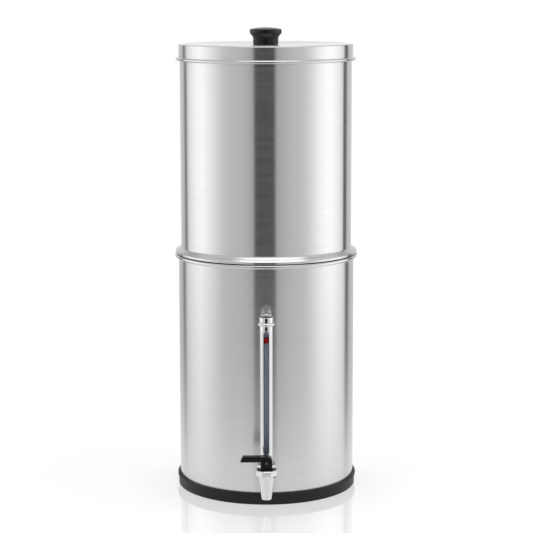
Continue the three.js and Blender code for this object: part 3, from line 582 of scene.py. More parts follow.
# Guard of the sight glass
# A chromed tube round the glass, with one long window with round ends towards the front
# and a short slit above it. It stands in the tee's socket and carries the cap.
window_width = 0.0076
window_foot = guard_low.z + 0.019
window_head = guard_high.z - 0.0069
window_end = 0.004
slit_width = 0.0032
slit_foot = window_head + 0.001
slit_head = guard_high.z - 0.0013
guard_edge = 0.0003
cut_depth = 0.010
cut_length_share = 0.7
bore_skin = 0.0009
raw_brass = (0.72, 0.72, 0.73)
# Near white: painted light for the bore above the float.
bore_painted_light = (0.98, 0.98, 0.98)
shade_black = (0.01, 0.01, 0.01)
raw_roughness = 0.6


def slot(width, bottom, top, depth):
    """A tool for an upright slot with round ends, in the front of the sight glass."""
    face = gauge_axis + Vector((0, -depth, top - width / 2))
    tool = rod(width / 2, face, face + forward * depth * cut_length_share)
    bpy.ops.object.mode_set(mode="EDIT")
    pick(tool, "VERT", lambda corner: corner.z < face.z - weld)
    bpy.ops.transform.translate(value=(0, 0, bottom + width - top))
    bpy.ops.object.mode_set(mode="OBJECT")
    return tool


def block(middle, size):
    """A square-cornered tool shape."""
    bpy.ops.object.select_all(action="DESELECT")
    bpy.ops.mesh.primitive_cube_add(size=1, location=middle, scale=size)
    bpy.ops.object.transform_apply()
    return bpy.context.object


def slit(width, bottom, top, depth):
    """A tool for an upright slit with square ends, in the front of the sight glass."""
    length = depth * cut_length_share
    middle = gauge_axis + Vector((0, length / 2 - depth, (bottom + top) / 2))
    return block(middle, (width, length, top - bottom))


def masked(made, mask, colour, roughness):
    """Gives the part of a material that a mask picks out another colour and roughness."""
    tree = made.node_tree
    for name, value in (("Base Color", (*colour, 1)), ("Roughness", (roughness,) * 3 + (1,))):
        before = tree.nodes["Principled BSDF"].inputs[name].links[0].from_socket
        drive(made, name, layer(tree, "MixRGB", {"Fac": mask, "Color1": before, "Color2": value}))


guard_chrome = plated("chrome plate over a raw bore with painted light and shade")
tree = guard_chrome.node_tree
offset, reach = from_axis(tree, gauge_axis)
in_bore = layer(tree, "Math", {0: reach, 1: guard_bore + bore_skin}, operation="LESS_THAN")
masked(guard_chrome, in_bore, raw_brass, raw_roughness)
# In the bore, from the float's top up, the grey is raised nearly to white. This is painted light
# where the float and the window's head keep light off the wall. From between the window and the
# slit up, the bore is painted black as the shade inside the slit and cap.
for height, colour in ((float_high.z, bore_painted_light), ((window_head + slit_foot) / 2, shade_black)):
    above = layer(tree, "Math", {0: offset["Z"], 1: height}, operation="GREATER_THAN")
    in_part = layer(tree, "Math", {0: above, 1: in_bore}, operation="MULTIPLY")
    masked(guard_chrome, in_part, colour, raw_roughness)

guard = turn("sight_guard", [
    (guard_bore, guard_low.z),
    (guard_radius, guard_low.z),
    (guard_radius, window_foot - overrun),
    (guard_radius, window_foot + window_end),
    (guard_radius, window_head - window_end),
    (guard_radius, guard_high.z, guard_edge),
    (guard_bore, guard_high.z),
    (guard_bore, window_head - window_end),
    (guard_bore, window_foot + window_end),
], foot=gauge_axis, steps=180)
combine(guard, slot(window_width, window_foot, window_head, cut_depth), "DIFFERENCE")
combine(guard, slit(slit_width, slit_foot, slit_head, cut_depth), "DIFFERENCE")
dress(guard, guard_chrome, "base", "chrome", "gauge_shield")

# Cap of the sight glass
# A chromed cap sits on the guard's top edge, with a rounded bead, a slit drum, a thin black
# seal and a low domed vent plug whose hollow neck reaches down through the seal.
cap_low, cap_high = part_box("gauge_cap")
seal_low, seal_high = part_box("gauge_cap_seal")
plug_low, plug_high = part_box("gauge_vent_plug")
bead_radius = cap_high.x - gauge_axis.x
bead_round = 0.00205
drum_radius = bead_radius - 0.0021
drum_foot = cap_low.z + 2 * bead_round
drum_edge = 0.0007
cap_roof = cap_high.z - 0.0015
cap_slit_foot = drum_foot + 0.0016
cap_cut_depth = cut_depth + 0.001
seal_radius = seal_high.x - gauge_axis.x
seal_bulge = 0.00025
seal_edge = 0.0002
plug_radius = plug_high.x - gauge_axis.x
plug_neck_radius = 0.0035
plug_neck_edge = 0.0003
plug_bore = 0.0009
plug_seat = seal_high.z + gap
plug_rim_top = plug_seat + 0.0008
satin_grey = (0.5, 0.5, 0.51)


def dome(radius, foot, rise, spacing, count):
    """Corners up a dome, at steps of some degrees from its foot."""
    angles = [math.radians(spacing * step) for step in range(count)]
    return [(radius * math.cos(a), foot + rise * math.sin(a)) for a in angles]


cap = turn("sight_cap", [
    (guard_bore, cap_low.z),
    *arc(bead_radius - bead_round, cap_low.z + bead_round, bead_round, -90, 90, 16),
    (drum_radius, drum_foot),
    (drum_radius, cap_high.z, drum_edge),
    (vent_radius, cap_high.z),
    (vent_radius, cap_roof),
    (guard_bore, cap_roof),
], foot=gauge_axis, steps=144)
combine(cap, slit(slit_width, cap_slit_foot, cap_roof, cap_cut_depth), "DIFFERENCE")
dress(cap, guard_chrome, "base", "chrome", "gauge_cap")

seal_foot = seal_low.z - seal_bulge
seal_head = seal_high.z + seal_bulge
seal = disc(
    "cap_seal", vent_radius, seal_radius, seal_foot, seal_head, seal_edge,
    foot=gauge_axis, steps=64,
)
dress(seal, rubber, "base", "black_rubber", "gauge_cap_seal")

satin_chrome = finish("satin chrome", satin_grey, 0.34, 1.0)
vary_gloss(satin_chrome, grain(satin_chrome, 700), 0.3, 0.4)
vent_plug = turn("vent_plug", [
    (plug_bore, plug_low.z),
    (plug_neck_radius, plug_low.z, plug_neck_edge),
    (plug_neck_radius, plug_seat),
    (plug_radius, plug_seat),
    *dome(plug_radius, plug_rim_top, plug_high.z - plug_rim_top, 8, 11),
    (plug_bore, plug_high.z),
], foot=gauge_axis, steps=64)
dress(vent_plug, satin_chrome, "base", "chrome", "gauge_vent_plug")

# Tap body
# Chrome-plated metal: an eight-sided head with a recess for the bonnet, which tapers down
# into a round-tipped spout, and a neck and nipple behind that plug into the tee.
body_low, body_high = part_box("tap_body")
pin_low, pin_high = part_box("tap_lever_pin")
tap_axis = axis_of(pin_low, pin_high)
flats = 8
half_flat = math.pi / flats
head_flats = 2 * (tap_axis.y - body_low.y)
head_foot = body_high.z - 0.0073
shoulder_height = head_foot - 0.0039
spout_radii = [0.0111, 0.01038, 0.00948, 0.0084, 0.0068]
spout_fall_shares = [0, 0.16, 0.35, 0.62, 0.985]
spout_rounding = 0.0023
least_fall = 0.0002
tip_cut = 0.0007
recess_flats = 0.0236
recess_across = recess_flats / 2 / math.cos(half_flat)
recess_floor = body_high.z - 0.0038
rim_chamfer = 0.0005
mouth_radius = 0.005
throat_radius = 0.004
seat_radius = throat_radius + 0.0015
valve_radius = 0.0075
bonnet_bore = 0.010
seat_height = shank_height - 0.003
seat_floor = shank_height - 0.004
valve_top = recess_floor - 0.0052
bore_overlap = 0.001
neck_radius = 0.008
nipple_edge = 0.0005

head_bottom = tap_axis + upright * head_foot
head_top = tap_axis + upright * body_high.z
tap_body = prism("tap_body_casting", flats, head_flats, head_bottom, head_top, half_flat)
bpy.ops.object.mode_set(mode="EDIT")
across_before = head_flats / 2
height_before = head_foot
for radius, share in zip(spout_radii, spout_fall_shares):
    height = shoulder_height - (shoulder_height - body_low.z) * share
    drop = (0, 0, height - height_before)
    scale = radius / across_before
    pick(tap_body, "FACE", lambda corner: corner.z < height_before + touch)
    bpy.ops.mesh.extrude_region_move(TRANSFORM_OT_translate={"value": drop})
    bpy.ops.transform.resize(value=(scale, scale, 1), center_override=tap_axis + upright * height)
    across_before = radius
    height_before = height
bpy.ops.mesh.select_mode(type="EDGE")
bpy.ops.mesh.select_all(action="DESELECT")
bpy.ops.object.mode_set(mode="OBJECT")
for edge in tap_body.data.edges:
    low, high = sorted(tap_body.data.vertices[key].co.z for key in edge.vertices)
    edge.select = high < shoulder_height + touch and high - low > least_fall
bpy.ops.object.mode_set(mode="EDIT")
bpy.ops.mesh.bevel(offset=spout_rounding, segments=5, affect="EDGES")
tip = (0, 0, body_low.z - height_before)
tip_scale = (across_before - tip_cut) / across_before
pick(tap_body, "FACE", lambda corner: corner.z < height_before + touch)
bpy.ops.mesh.extrude_region_move(TRANSFORM_OT_translate={"value": tip})
tip_middle = tap_axis + upright * body_low.z
bpy.ops.transform.resize(value=(tip_scale, tip_scale, 1), center_override=tip_middle)
bpy.ops.object.mode_set(mode="OBJECT")

neck = turn("neck", [
    (0, tap_axis.y),
    (neck_radius, tap_axis.y),
    (neck_radius, tap_axis.y + head_flats / 2),
    (nipple_radius, tap_axis.y + head_flats / 2),
    (nipple_radius, body_high.y, nipple_edge),
    (0, body_high.y),
], foot=shank_axis, along=forward, steps=64)
combine(tap_body, neck, "UNION")
recess_bottom = tap_axis + upright * recess_floor
recess_top = head_top + upright * overrun
recess = prism("recess", flats, recess_flats, recess_bottom, recess_top, half_flat)
combine(tap_body, recess, "DIFFERENCE")


def at_mouth(corner):
    """Whether a corner lies on the edge between the tap's rim and its recess."""
    return corner.z > body_high.z - touch and (corner - head_top).length < recess_across + touch


def at_rim(corner):
    """Whether a corner lies on the outer edge of the tap's rim."""
    return corner.z > body_high.z - touch and (corner - head_top).length > head_flats / 2


soften(tap_body, rim_chamfer, 1, "EDGE", at_mouth)
soften(tap_body, rim_chamfer, 1, "EDGE", at_rim)
bores = turn("bores", [
    (0, body_low.z - overrun),
    (mouth_radius, body_low.z - overrun),
    (mouth_radius, body_low.z),
    (throat_radius, seat_height),
    (seat_radius, seat_height),
    (seat_radius, seat_floor),
    (valve_radius, seat_floor),
    (valve_radius, valve_top),
    (bonnet_bore, valve_top),
    (bonnet_bore, recess_floor + bore_overlap),
    (0, recess_floor + bore_overlap),
], foot=tap_axis, steps=64)
combine(tap_body, bores, "DIFFERENCE")
feed_start = shank_axis + forward * tap_axis.y
feed_end = shank_axis + forward * (body_high.y + overrun)
drill(tap_body, waterway_radius, feed_start, feed_end)
dress(tap_body, chrome, "base", "chrome", "tap_body", crease=35)

# Bonnet
# Black moulded plastic: an eight-sided cap that screws into the tap's head, closes the
# valve over the spring, and has a round pad that the lever's heel rocks on.
bonnet_low, bonnet_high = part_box("tap_bonnet")
bonnet_flats = recess_flats - 2 * gap
bonnet_face = bonnet_high.z - 0.0014
bonnet_flange_foot = bonnet_face - 0.0031
bonnet_flange_edge = 0.0005
core_radius = bonnet_bore - gap
core_overlap = 0.001
core_edge = 0.0004
pad_radius = 0.009
rod_hole_radius = 0.0026
spring_bore = 0.0065
spring_roof = bonnet_face - 0.0022
plastic_black = (0.003, 0.003, 0.0035)
plastic_grey = (0.006, 0.006, 0.0065)


def moulded(name, roughness, shine):
    """Black moulded plastic with a faint grain."""
    made = finish(name, plastic_black, roughness, shine=shine)
    cloud = grain(made, 220)
    vary_gloss(made, cloud, roughness - 0.03, roughness + 0.05)
    tint(made, cloud, plastic_black, plastic_grey)
    relief(made, grain(made, 2600, detail=2.0), 0.000006)
    return made


black_plastic = moulded("black plastic", 0.28, 0.2)
bonnet_bottom = tap_axis + upright * bonnet_flange_foot
bonnet_top = tap_axis + upright * bonnet_face
bonnet = prism("tap_bonnet_cap", flats, bonnet_flats, bonnet_bottom, bonnet_top, half_flat)
soften(bonnet, bonnet_flange_edge, 3, "FACE", lambda corner: corner.z > bonnet_face - touch)
core = turn("core", [
    (0, bonnet_low.z),
    (core_radius, bonnet_low.z, core_edge),
    (core_radius, bonnet_flange_foot + core_overlap),
    (pad_radius, bonnet_face),
    (pad_radius, bonnet_high.z, core_edge),
    (0, bonnet_high.z),
], foot=tap_axis, steps=64)
combine(bonnet, core, "UNION")
hollow = turn("hollow", [
    (0, bonnet_low.z - overrun),
    (spring_bore, bonnet_low.z - overrun),
    (spring_bore, spring_roof),
    (rod_hole_radius, spring_roof),
    (rod_hole_radius, bonnet_high.z + overrun),
    (0, bonnet_high.z + overrun),
], foot=tap_axis, steps=48)
combine(bonnet, hollow, "DIFFERENCE")
dress(bonnet, black_plastic, "base", "black_plastic", "tap_bonnet")

# Stem, spring and seat cup
# Steel pieces and a soft cup inside the tap: the spring pushes the stem down, and the cup
# on the stem's foot closes the seat. Nothing of them shows, so the frame's solids stay.
inside_tap = {"tap_stem": plain_steel, "tap_spring": plain_steel, "tap_seat_cup": rubber}
for node, made in inside_tap.items():
    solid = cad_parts[node]
    solid.data.materials.clear()
    solid.data.materials.append(made)

# Lever and its pin
# Black moulded plastic: a forked hub that straddles the stem's eye, with a rounded heel on
# the pad, and a flat arm for the finger. A plain steel pin holds it across the hub.
lever_low, lever_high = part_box("tap_lever")
lever_top = lever_high.z
pin_height = (pin_low.z + pin_high.z) / 2
pin_radius = (pin_high.z - pin_low.z) / 2
pin_clearance = 0.0002
pin_edge = 0.0003
hub_half = lever_high.x - tap_axis.x
hub_rounding = 0.007
heel_rounding = 0.001
arm_half = 0.0055
arm_foot = pin_height + 0.0008
arm_tip = lever_low.x - tap_axis.x
arm_slant = 0.0034
arm_rounding = 0.0012
fork_half_width = 0.0023
fork_reach = 0.00416
fork_rounding = 0.004
lever_edge = 0.0007
steel_dull = (0.17, 0.17, 0.175)


def slab(name, outline, middle, half_width):
    """A flat piece: an outline of (x, height) corners, filled and raised across Y."""
    near_side = middle - forward * half_width
    corners = [near_side + Vector((corner[0], 0, corner[1])) for corner in outline]
    piece = draw_outline(name, corners)
    round_off(piece, corners, outline, 8)
    bpy.ops.mesh.select_all(action="SELECT")
    bpy.ops.mesh.edge_face_add()
    bpy.ops.mesh.extrude_region_move(TRANSFORM_OT_translate={"value": (0, 2 * half_width, 0)})
    bpy.ops.mesh.select_all(action="SELECT")
    bpy.ops.mesh.remove_doubles(threshold=weld)
    bpy.ops.mesh.normals_make_consistent(inside=False)
    bpy.ops.object.mode_set(mode="OBJECT")
    return piece


def ease_edges(piece, width, sharper_than):
    """Rounds all edges of a piece that are sharper than some degrees."""
    bpy.context.view_layer.objects.active = piece
    bevel = piece.modifiers.new("edges", "BEVEL")
    bevel.width = width
    bevel.segments = 3
    bevel.limit_method = "ANGLE"
    bevel.angle_limit = math.radians(sharper_than)
    bpy.ops.object.modifier_apply(modifier="edges")


lever = slab("tap_lever_moulding", [
    (-hub_half, lever_low.z, heel_rounding),
    (hub_half, lever_low.z, heel_rounding),
    (hub_half, lever_top, hub_rounding),
    (-hub_half, lever_top),
], tap_axis, hub_half)
arm = slab("arm", [
    (0, arm_foot),
    (0, lever_top),
    (arm_tip + arm_slant, lever_top, arm_rounding),
    (arm_tip, arm_foot, arm_rounding),
], tap_axis, arm_half)
combine(lever, arm, "UNION")
ease_edges(lever, lever_edge, 40)
fork_left = -hub_half - overrun
fork_foot = lever_low.z - overrun
fork_roof = pin_height + fork_reach
fork = slab("fork", [
    (fork_left, fork_foot),
    (fork_reach, fork_foot),
    (fork_reach, fork_roof, fork_rounding),
    (-fork_reach, fork_roof, fork_rounding),
    (-fork_reach, pin_height),
    (fork_left, pin_height),
], tap_axis, fork_half_width)
combine(lever, fork, "DIFFERENCE")
pin_start = tap_axis + Vector((0, -2 * hub_half, pin_height))
pin_end = tap_axis + Vector((0, 2 * hub_half, pin_height))
drill(lever, pin_radius + pin_clearance, pin_start, pin_end, 32)
dress(lever, black_plastic, "lever", "black_plastic", "tap_lever", crease=35)

dull_steel = finish("dull steel", steel_dull, 0.4, 1.0)
vary_gloss(dull_steel, grain(dull_steel, 600), 0.34, 0.46)
pin = disc(
    "lever_pin", 0, pin_radius, pin_low.y, pin_high.y, pin_edge,
    foot=Vector((tap_axis.x, 0, pin_height)), along=forward, steps=32,
)
dress(pin, dull_steel, "valve_stem", "plain_steel", "tap_lever_pin")

# Upper chamber
# Drawn from the same sheet as the lower one. A pressed stop flange near its foot rests on
# the lower rim, so the floor nests inside it, and the top edge is curled inwards.
upper_low, upper_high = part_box("upper_chamber")
upper_radius = wall_radius - sheet - 0.00295
stop_radius = upper_high.x - chamber_axis.x
stop_seat = chamber_high.z + 0.0008
stop_edge_top = chamber_high.z + 0.0037
stop_edge = 0.0003
stop_round = 0.0016
stop_top_edge = 0.0006
stop_inside = stop_radius - sheet
stop_inside_edge = 0.0004
stop_inside_corner = 0.0006
slope_radius = stop_radius - stop_round
slope_foot = stop_edge_top + stop_round
slope_foot_roundings = (0.0012, 0.0008)
slope_top = stop_edge_top + 0.0056
slope_top_roundings = (0.0025, 0.0022)
curl = 0.0016
curl_end = 360 - math.degrees(math.acos((curl - sheet) / curl))
floor_rounding = 0.006
floor_corner = (upper_radius - floor_rounding, upper_low.z + floor_rounding)
hole_radius = 0.0058
hole_reach = 0.003
seat_painted_shade = (0.03, 0.03, 0.03)
seat_roughness = 0.8

# The thin band under the stop flange, where it sits on the lower rim, is rougher and painted near
# black: painted shade for the gap between the two chambers.
upper_steel = brushed("brushed steel with a dull seat in painted shade")
tree = upper_steel.node_tree
place = layer(tree, "TexCoord").outputs["Object"]
height = layer(tree, "SeparateXYZ", {0: place}).outputs["Z"]
in_seat_painted_shade = layer(tree, "Math", {0: height, 1: stop_seat, 2: stop_edge / 2}, operation="COMPARE")
masked(upper_steel, in_seat_painted_shade, seat_painted_shade, seat_roughness)

upper_chamber = turn("drawn_upper_chamber", [
    (0, upper_low.z),
    *arc(*floor_corner, floor_rounding, -90, 0),
    (upper_radius, stop_seat),
    (stop_radius, stop_seat, stop_edge),
    (stop_radius, stop_edge_top, stop_top_edge),
    (slope_radius, slope_foot, slope_foot_roundings[0]),
    (upper_radius, slope_top, slope_top_roundings[0]),
    *arc(upper_radius - curl, upper_high.z - curl, curl, 0, curl_end, 14),
    (upper_radius - sheet, slope_top, slope_top_roundings[1]),
    (slope_radius - sheet, slope_foot - sheet / 2, slope_foot_roundings[1]),
    (stop_inside, stop_edge_top, stop_inside_edge),
    (stop_inside, stop_seat + sheet, stop_inside_corner),
    (upper_radius - sheet, stop_seat + sheet),
    *arc(*floor_corner, floor_rounding - sheet, 0, -90),
    (0, upper_low.z + sheet),
])
floor_washers = [f"element_washer_{n}" for n in (1, 2, 3, 4)] + ["plug_washer_1", "plug_washer_2"]
for node in floor_washers:
    hole = axis_of(*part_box(node)) + upright * upper_low.z
    drill(upper_chamber, hole_radius, hole - upright * hole_reach, hole + upright * hole_reach)
dress(upper_chamber, upper_steel, "upper", "brushed_steel", "upper_chamber")

# Filter elements
# Four ceramic candles stand on the floor. Each is a thick porous shell with a domed end, set
# in a white plastic cup whose hollow threaded stem goes down through a washer and the floor.
washer_low, washer_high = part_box("element_washer_1")
cup_low, cup_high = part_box("element_base_1")
element_low, element_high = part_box("filter_element_1")
washer_radius = (washer_high.x - washer_low.x) / 2
washer_edge = 0.0005
element_axis = axis_of(element_low, element_high)
element_radius = (element_high.x - element_low.x) / 2
element_inside = element_radius - 0.009
element_roof_rounding = 0.004
element_crown = 0.018
element_shoulder = element_high.z - element_crown
element_edge = 0.0008
cup_radius = cup_high.x - element_axis.x
cup_bore = element_radius + gap
cup_floor = element_low.z - gap
cup_disc_foot = cup_floor - 0.003
cup_thread_head = cup_disc_foot - 0.002
cup_disc_edge = 0.001
cup_lip_edge = 0.0005
stem_radius = 0.0055
stem_core_radius = 0.0049
stem_bore = 0.0019
ceramic_white = (0.80, 0.77, 0.70)
ceramic_dark = (0.74, 0.70, 0.62)
ceramic_light = (0.84, 0.82, 0.76)
plastic_white = (0.80, 0.80, 0.78)


def fit_all(first, name, node, count, made, slot_name):
    """Copies the first of some like pieces, each with a mesh of its own, to where the others
    stand, and dresses them all."""
    for number in range(2, count + 1):
        bpy.ops.object.select_all(action="DESELECT")
        first.select_set(True)
        bpy.context.view_layer.objects.active = first
        bpy.ops.object.duplicate()
        copy = bpy.context.object
        copy.name = f"{name}_{number}"
        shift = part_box(f"{node}_{number}")[0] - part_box(f"{node}_1")[0]
        bpy.ops.transform.translate(value=shift)
        bpy.ops.object.transform_apply()
        dress(copy, made, "upper", slot_name, f"{node}_{number}")
    dress(first, made, "upper", slot_name, f"{node}_1")


ceramic = finish("porous ceramic", ceramic_white, 0.85)
tint(ceramic, grain(ceramic, 35, 18, 5.0), ceramic_dark, ceramic_light)
relief(ceramic, grain(ceramic, 1500), 0.00005)
white_plastic = finish("white plastic", plastic_white, 0.4)
vary_gloss(white_plastic, grain(white_plastic, 260), 0.34, 0.48)

candle = turn("ceramic_candle_1", [
    (element_inside, element_low.z),
    (element_radius, element_low.z, element_edge),
    *dome(element_radius, element_shoulder, element_crown, 7.5, 12),
    (0, element_high.z),
    (0, element_shoulder),
    (element_inside, element_shoulder, element_roof_rounding),
], foot=element_axis, steps=72)
cup = turn("candle_cup_1", [
    (stem_bore, cup_low.z),
    *thread(stem_core_radius, stem_radius, cup_low.z, cup_thread_head),
    (stem_core_radius, cup_disc_foot),
    (cup_radius, cup_disc_foot, cup_disc_edge),
    (cup_radius, cup_high.z, cup_lip_edge),
    (cup_bore, cup_high.z),
    (cup_bore, cup_floor),
    (stem_bore, cup_floor),
], foot=element_axis, steps=72)
washer_sizes = (hole_radius, washer_radius, washer_low.z, washer_high.z, washer_edge)
washer = disc("floor_washer_1", *washer_sizes, foot=element_axis, steps=48)
fit_all(candle, "ceramic_candle", "filter_element", 4, ceramic, "white_ceramic")
fit_all(cup, "candle_cup", "element_base", 4, white_plastic, "white_plastic")
fit_all(washer, "floor_washer", "element_washer", 4, rubber, "black_rubber")

# Wing nuts
# White moulded plastic, one on each stem under the floor: a round hub with two flat wings
# that point down, so that it can be done up by hand from below.
wing_low, wing_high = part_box("wing_nut_1")
hub_low_radius = 0.0072
hub_high_radius = 0.008
hub_foot = wing_high.z - 0.008
hub_edge = 0.0005
wing_reach = wing_high.x - element_axis.x
wing_foot_reach = 0.0102
wing_foot_rounding = 0.002
wing_top = wing_high.z - 0.003
wing_half_thickness = 0.0013
wing_corner = 0.0034
wing_edge = 0.0006

wing_nut = turn("wing_nut_moulding_1", [
    (0, hub_foot),
    (hub_low_radius, hub_foot, hub_edge),
    (hub_high_radius, wing_high.z, hub_edge),
    (0, wing_high.z),
], foot=element_axis, steps=48)
wings = slab("wings", [
    (0, hub_foot),
    (wing_foot_reach, wing_low.z, wing_foot_rounding),
    (wing_reach, wing_low.z, wing_corner),
    (wing_reach, wing_top, wing_corner),
    (-wing_reach, wing_top, wing_corner),
    (-wing_reach, wing_low.z, wing_corner),
    (-wing_foot_reach, wing_low.z, wing_foot_rounding),
], element_axis, wing_half_thickness)
ease_edges(wings, wing_edge, 30)
combine(wing_nut, wings, "UNION")
nut_bore_foot = element_axis + upright * (wing_low.z - overrun)
nut_bore_top = element_axis + upright * (wing_high.z + overrun)
drill(wing_nut, hole_radius, nut_bore_foot, nut_bore_top)
fit_all(wing_nut, "wing_nut_moulding", "wing_nut", 4, white_plastic, "white_plastic")

# Blocking plugs
# The two holes at the sides hold no element. Each is closed by a white plastic plug with a
# low round head on a rubber washer, held from below by a white plastic hexagon nut.
head_low, head_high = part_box("hole_plug_1")
plug_nut_low, plug_nut_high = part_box("plug_nut_1")
plug_axis = axis_of(head_low, head_high)
plug_head_radius = head_high.x - plug_axis.x
plug_head_foot = washer_high.z + gap
plug_head_edge = plug_head_foot + 0.0018
plug_head_rounding = 0.0004
plug_lead = 0.0005
plug_nut_flats = plug_nut_high.y - plug_nut_low.y
plug_nut_chamfer = 0.0005

plug = turn("blocking_plug_1", [
    (0, head_low.z),
    (stem_core_radius, head_low.z),
    *thread(stem_core_radius, stem_radius, head_low.z + plug_lead, upper_low.z),
    (stem_core_radius, plug_head_foot),
    (plug_head_radius, plug_head_foot, plug_head_rounding),
    *dome(plug_head_radius, plug_head_edge, head_high.z - plug_head_edge, 10, 9),
    (0, head_high.z),
], foot=plug_axis, steps=48)
plug_washer = disc("plug_washer_rubber_1", *washer_sizes, foot=plug_axis, steps=48)
plug_nut_foot = plug_axis + upright * plug_nut_low.z
plug_nut_head = plug_axis + upright * plug_nut_high.z
plug_nut = prism("plug_hexagon_nut_1", 6, plug_nut_flats, plug_nut_foot, plug_nut_head)
soften(plug_nut, plug_nut_chamfer, 2)
past = upright * overrun
drill(plug_nut, hole_radius, plug_nut_foot - past, plug_nut_head + past)
fit_all(plug, "blocking_plug", "hole_plug", 2, white_plastic, "white_plastic")
fit_all(plug_washer, "plug_washer_rubber", "plug_washer", 2, rubber, "black_rubber")
fit_all(plug_nut, "plug_hexagon_nut", "plug_nut", 2, white_plastic, "white_plastic")

# Lid
# Pressed from the same steel sheet: a slightly dished top, a rounded shoulder, and a skirt
# that drops over the upper chamber and ends in a rolled hem. The knob screws to its middle.
lid_low, lid_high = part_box("lid")
lid_inside = upper_radius + 0.00095
lid_radius = lid_inside + sheet
lid_shoulder = 0.0012
lid_dish = 0.0015
lid_edge_top = lid_high.z + 0.0007
lid_middle_top = lid_edge_top - lid_dish
dish_steps = 6
hem_roll = 0.00235
hem_centre = (lid_inside + hem_roll, lid_low.z + hem_roll)
hem_end = 540 - math.degrees(math.acos((hem_roll - sheet) / hem_roll))
screw_hole = 0.0027

dish_radius = lid_radius - lid_shoulder
shoulder_centre = (dish_radius, lid_edge_top - lid_shoulder)
dish_radii = [dish_radius * (1 - step / dish_steps) for step in range(1, dish_steps)]
dish = [(r, lid_middle_top + lid_dish * (r / dish_radius) ** 2) for r in dish_radii]
underside = [(radius, height - sheet) for radius, height in reversed(dish)]
lid = turn("pressed_lid", [
    (screw_hole, lid_middle_top - sheet),
    *underside,
    *arc(*shoulder_centre, lid_shoulder - sheet, 90, 0),
    *arc(*hem_centre, hem_roll, 180, hem_end, 26),
    *arc(*shoulder_centre, lid_shoulder, 0, 90),
    *dish,
    (screw_hole, lid_middle_top),
])
dress(lid, chamber_steel, "cover", "brushed_steel", "lid")

# Knob
# Black moulded plastic with a waisted neck, a wide rim and a slightly crowned face. A slotted
# steel screw comes up through a washer under the lid and holds it.
knob_low, knob_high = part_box("lid_knob")
screw_low, screw_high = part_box("lid_knob_screw")
under_low, under_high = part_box("lid_knob_washer")
knob_radius = knob_high.x - chamber_axis.x
rim_top = knob_high.z - 0.0027
rim_foot = rim_top - 0.0056
neck_top = rim_foot - 0.0052
knob_neck = 0.018
knob_neck_rounding = 0.0015
knob_foot = 0.0178
knob_foot_edge = 0.0006
rim_foot_edge = 0.001
rim_top_edge = 0.0012
knob_face = 0.014
knob_face_rounding = 0.001
knob_face_crown = 0.0009
screw_hole_roof = screw_high.z + 0.0005
screw_radius = 0.0024
screw_tip_edge = 0.0004
screw_head_radius = screw_high.x - chamber_axis.x
screw_head_top = screw_low.z + 0.003
screw_head_rounding = 0.0014
screw_slot = (0.012, 0.0012, 0.0024)
under_radius = under_high.x - chamber_axis.x
under_edge = 0.0003

knob_plastic = moulded("black knob plastic", 0.22, 0.38)
knob = turn("lid_knob_moulding", [
    (screw_hole, knob_low.z),
    (knob_foot, knob_low.z, knob_foot_edge),
    (knob_neck, neck_top, knob_neck_rounding),
    (knob_radius, rim_foot, rim_foot_edge),
    (knob_radius, rim_top, rim_top_edge),
    (knob_face, knob_high.z - knob_face_crown, knob_face_rounding),
    (knob_face / 2, knob_high.z - knob_face_crown / 4, knob_face_rounding),
    (0, knob_high.z),
    (0, screw_hole_roof),
    (screw_hole, screw_hole_roof),
], steps=96)
dress(knob, knob_plastic, "cover", "black_plastic", "lid_knob")

under_washer = disc(
    "knob_washer_steel", screw_hole, under_radius, under_low.z, under_high.z, under_edge, steps=48
)
dress(under_washer, plain_steel, "cover", "plain_steel", "lid_knob_washer")

screw = turn("knob_screw_steel", [
    (0, screw_low.z),
    (screw_head_radius, screw_low.z, screw_head_rounding),
    (screw_head_radius, screw_head_top),
    (screw_radius, screw_head_top),
    (screw_radius, screw_high.z, screw_tip_edge),
    (0, screw_high.z),
], steps=48)
combine(screw, block(chamber_axis + upright * screw_low.z, screw_slot), "DIFFERENCE")
dress(screw, plain_steel, "cover", "plain_steel", "lid_knob_screw")

# Table
# A white, slightly glossy board under the filter. It looks white to the camera, and keeps
# the faint mirror image of the base, the soft shadow where the filter stands and a glow painted
# darker near it.
table_size = 6.0
table_gloss = 0.30
table_roughness = 0.06
table_white = (0.22, 0.22, 0.22)
mirror_white = (0.94, 0.94, 0.94)
table_reach = 2.4
# The board's glow is darker near the filter, painted shade round its foot, and rises to full white
# further out. In the metal the board shows as a painted glow: painted shade near the filter,
# painted light a little way off, dimmer further out, then fading to clear.
table_glow_with_painted_shade = [(0.0, 0.76), (0.14, 0.77), (0.2, 0.83), (0.4, 0.87), (1.5, 1.0)]
table_in_metal_painted_light_and_shade = [
    (0.0, 0.72, 1.0), (0.24, 0.92, 0.84), (0.48, 0.86, 0.56), (1.08, 0.58, 0.24), (1.68, 0.5, 0.1),
    (table_reach, 0.5, 0.0),
]


def ramp(tree, source, stops):
    """Greys along a ramp, from stops of (place from 0 to 1, grey) or (place, grey, cover)."""
    made = layer(tree, "ValToRGB", {"Fac": source})
    for place, *_ in stops[1:-1]:
        made.color_ramp.elements.new(place)
    for element, (place, grey, *cover) in zip(made.color_ramp.elements, stops):
        element.position = place
        element.color = (grey, grey, grey, *(cover or [1]))
    return made


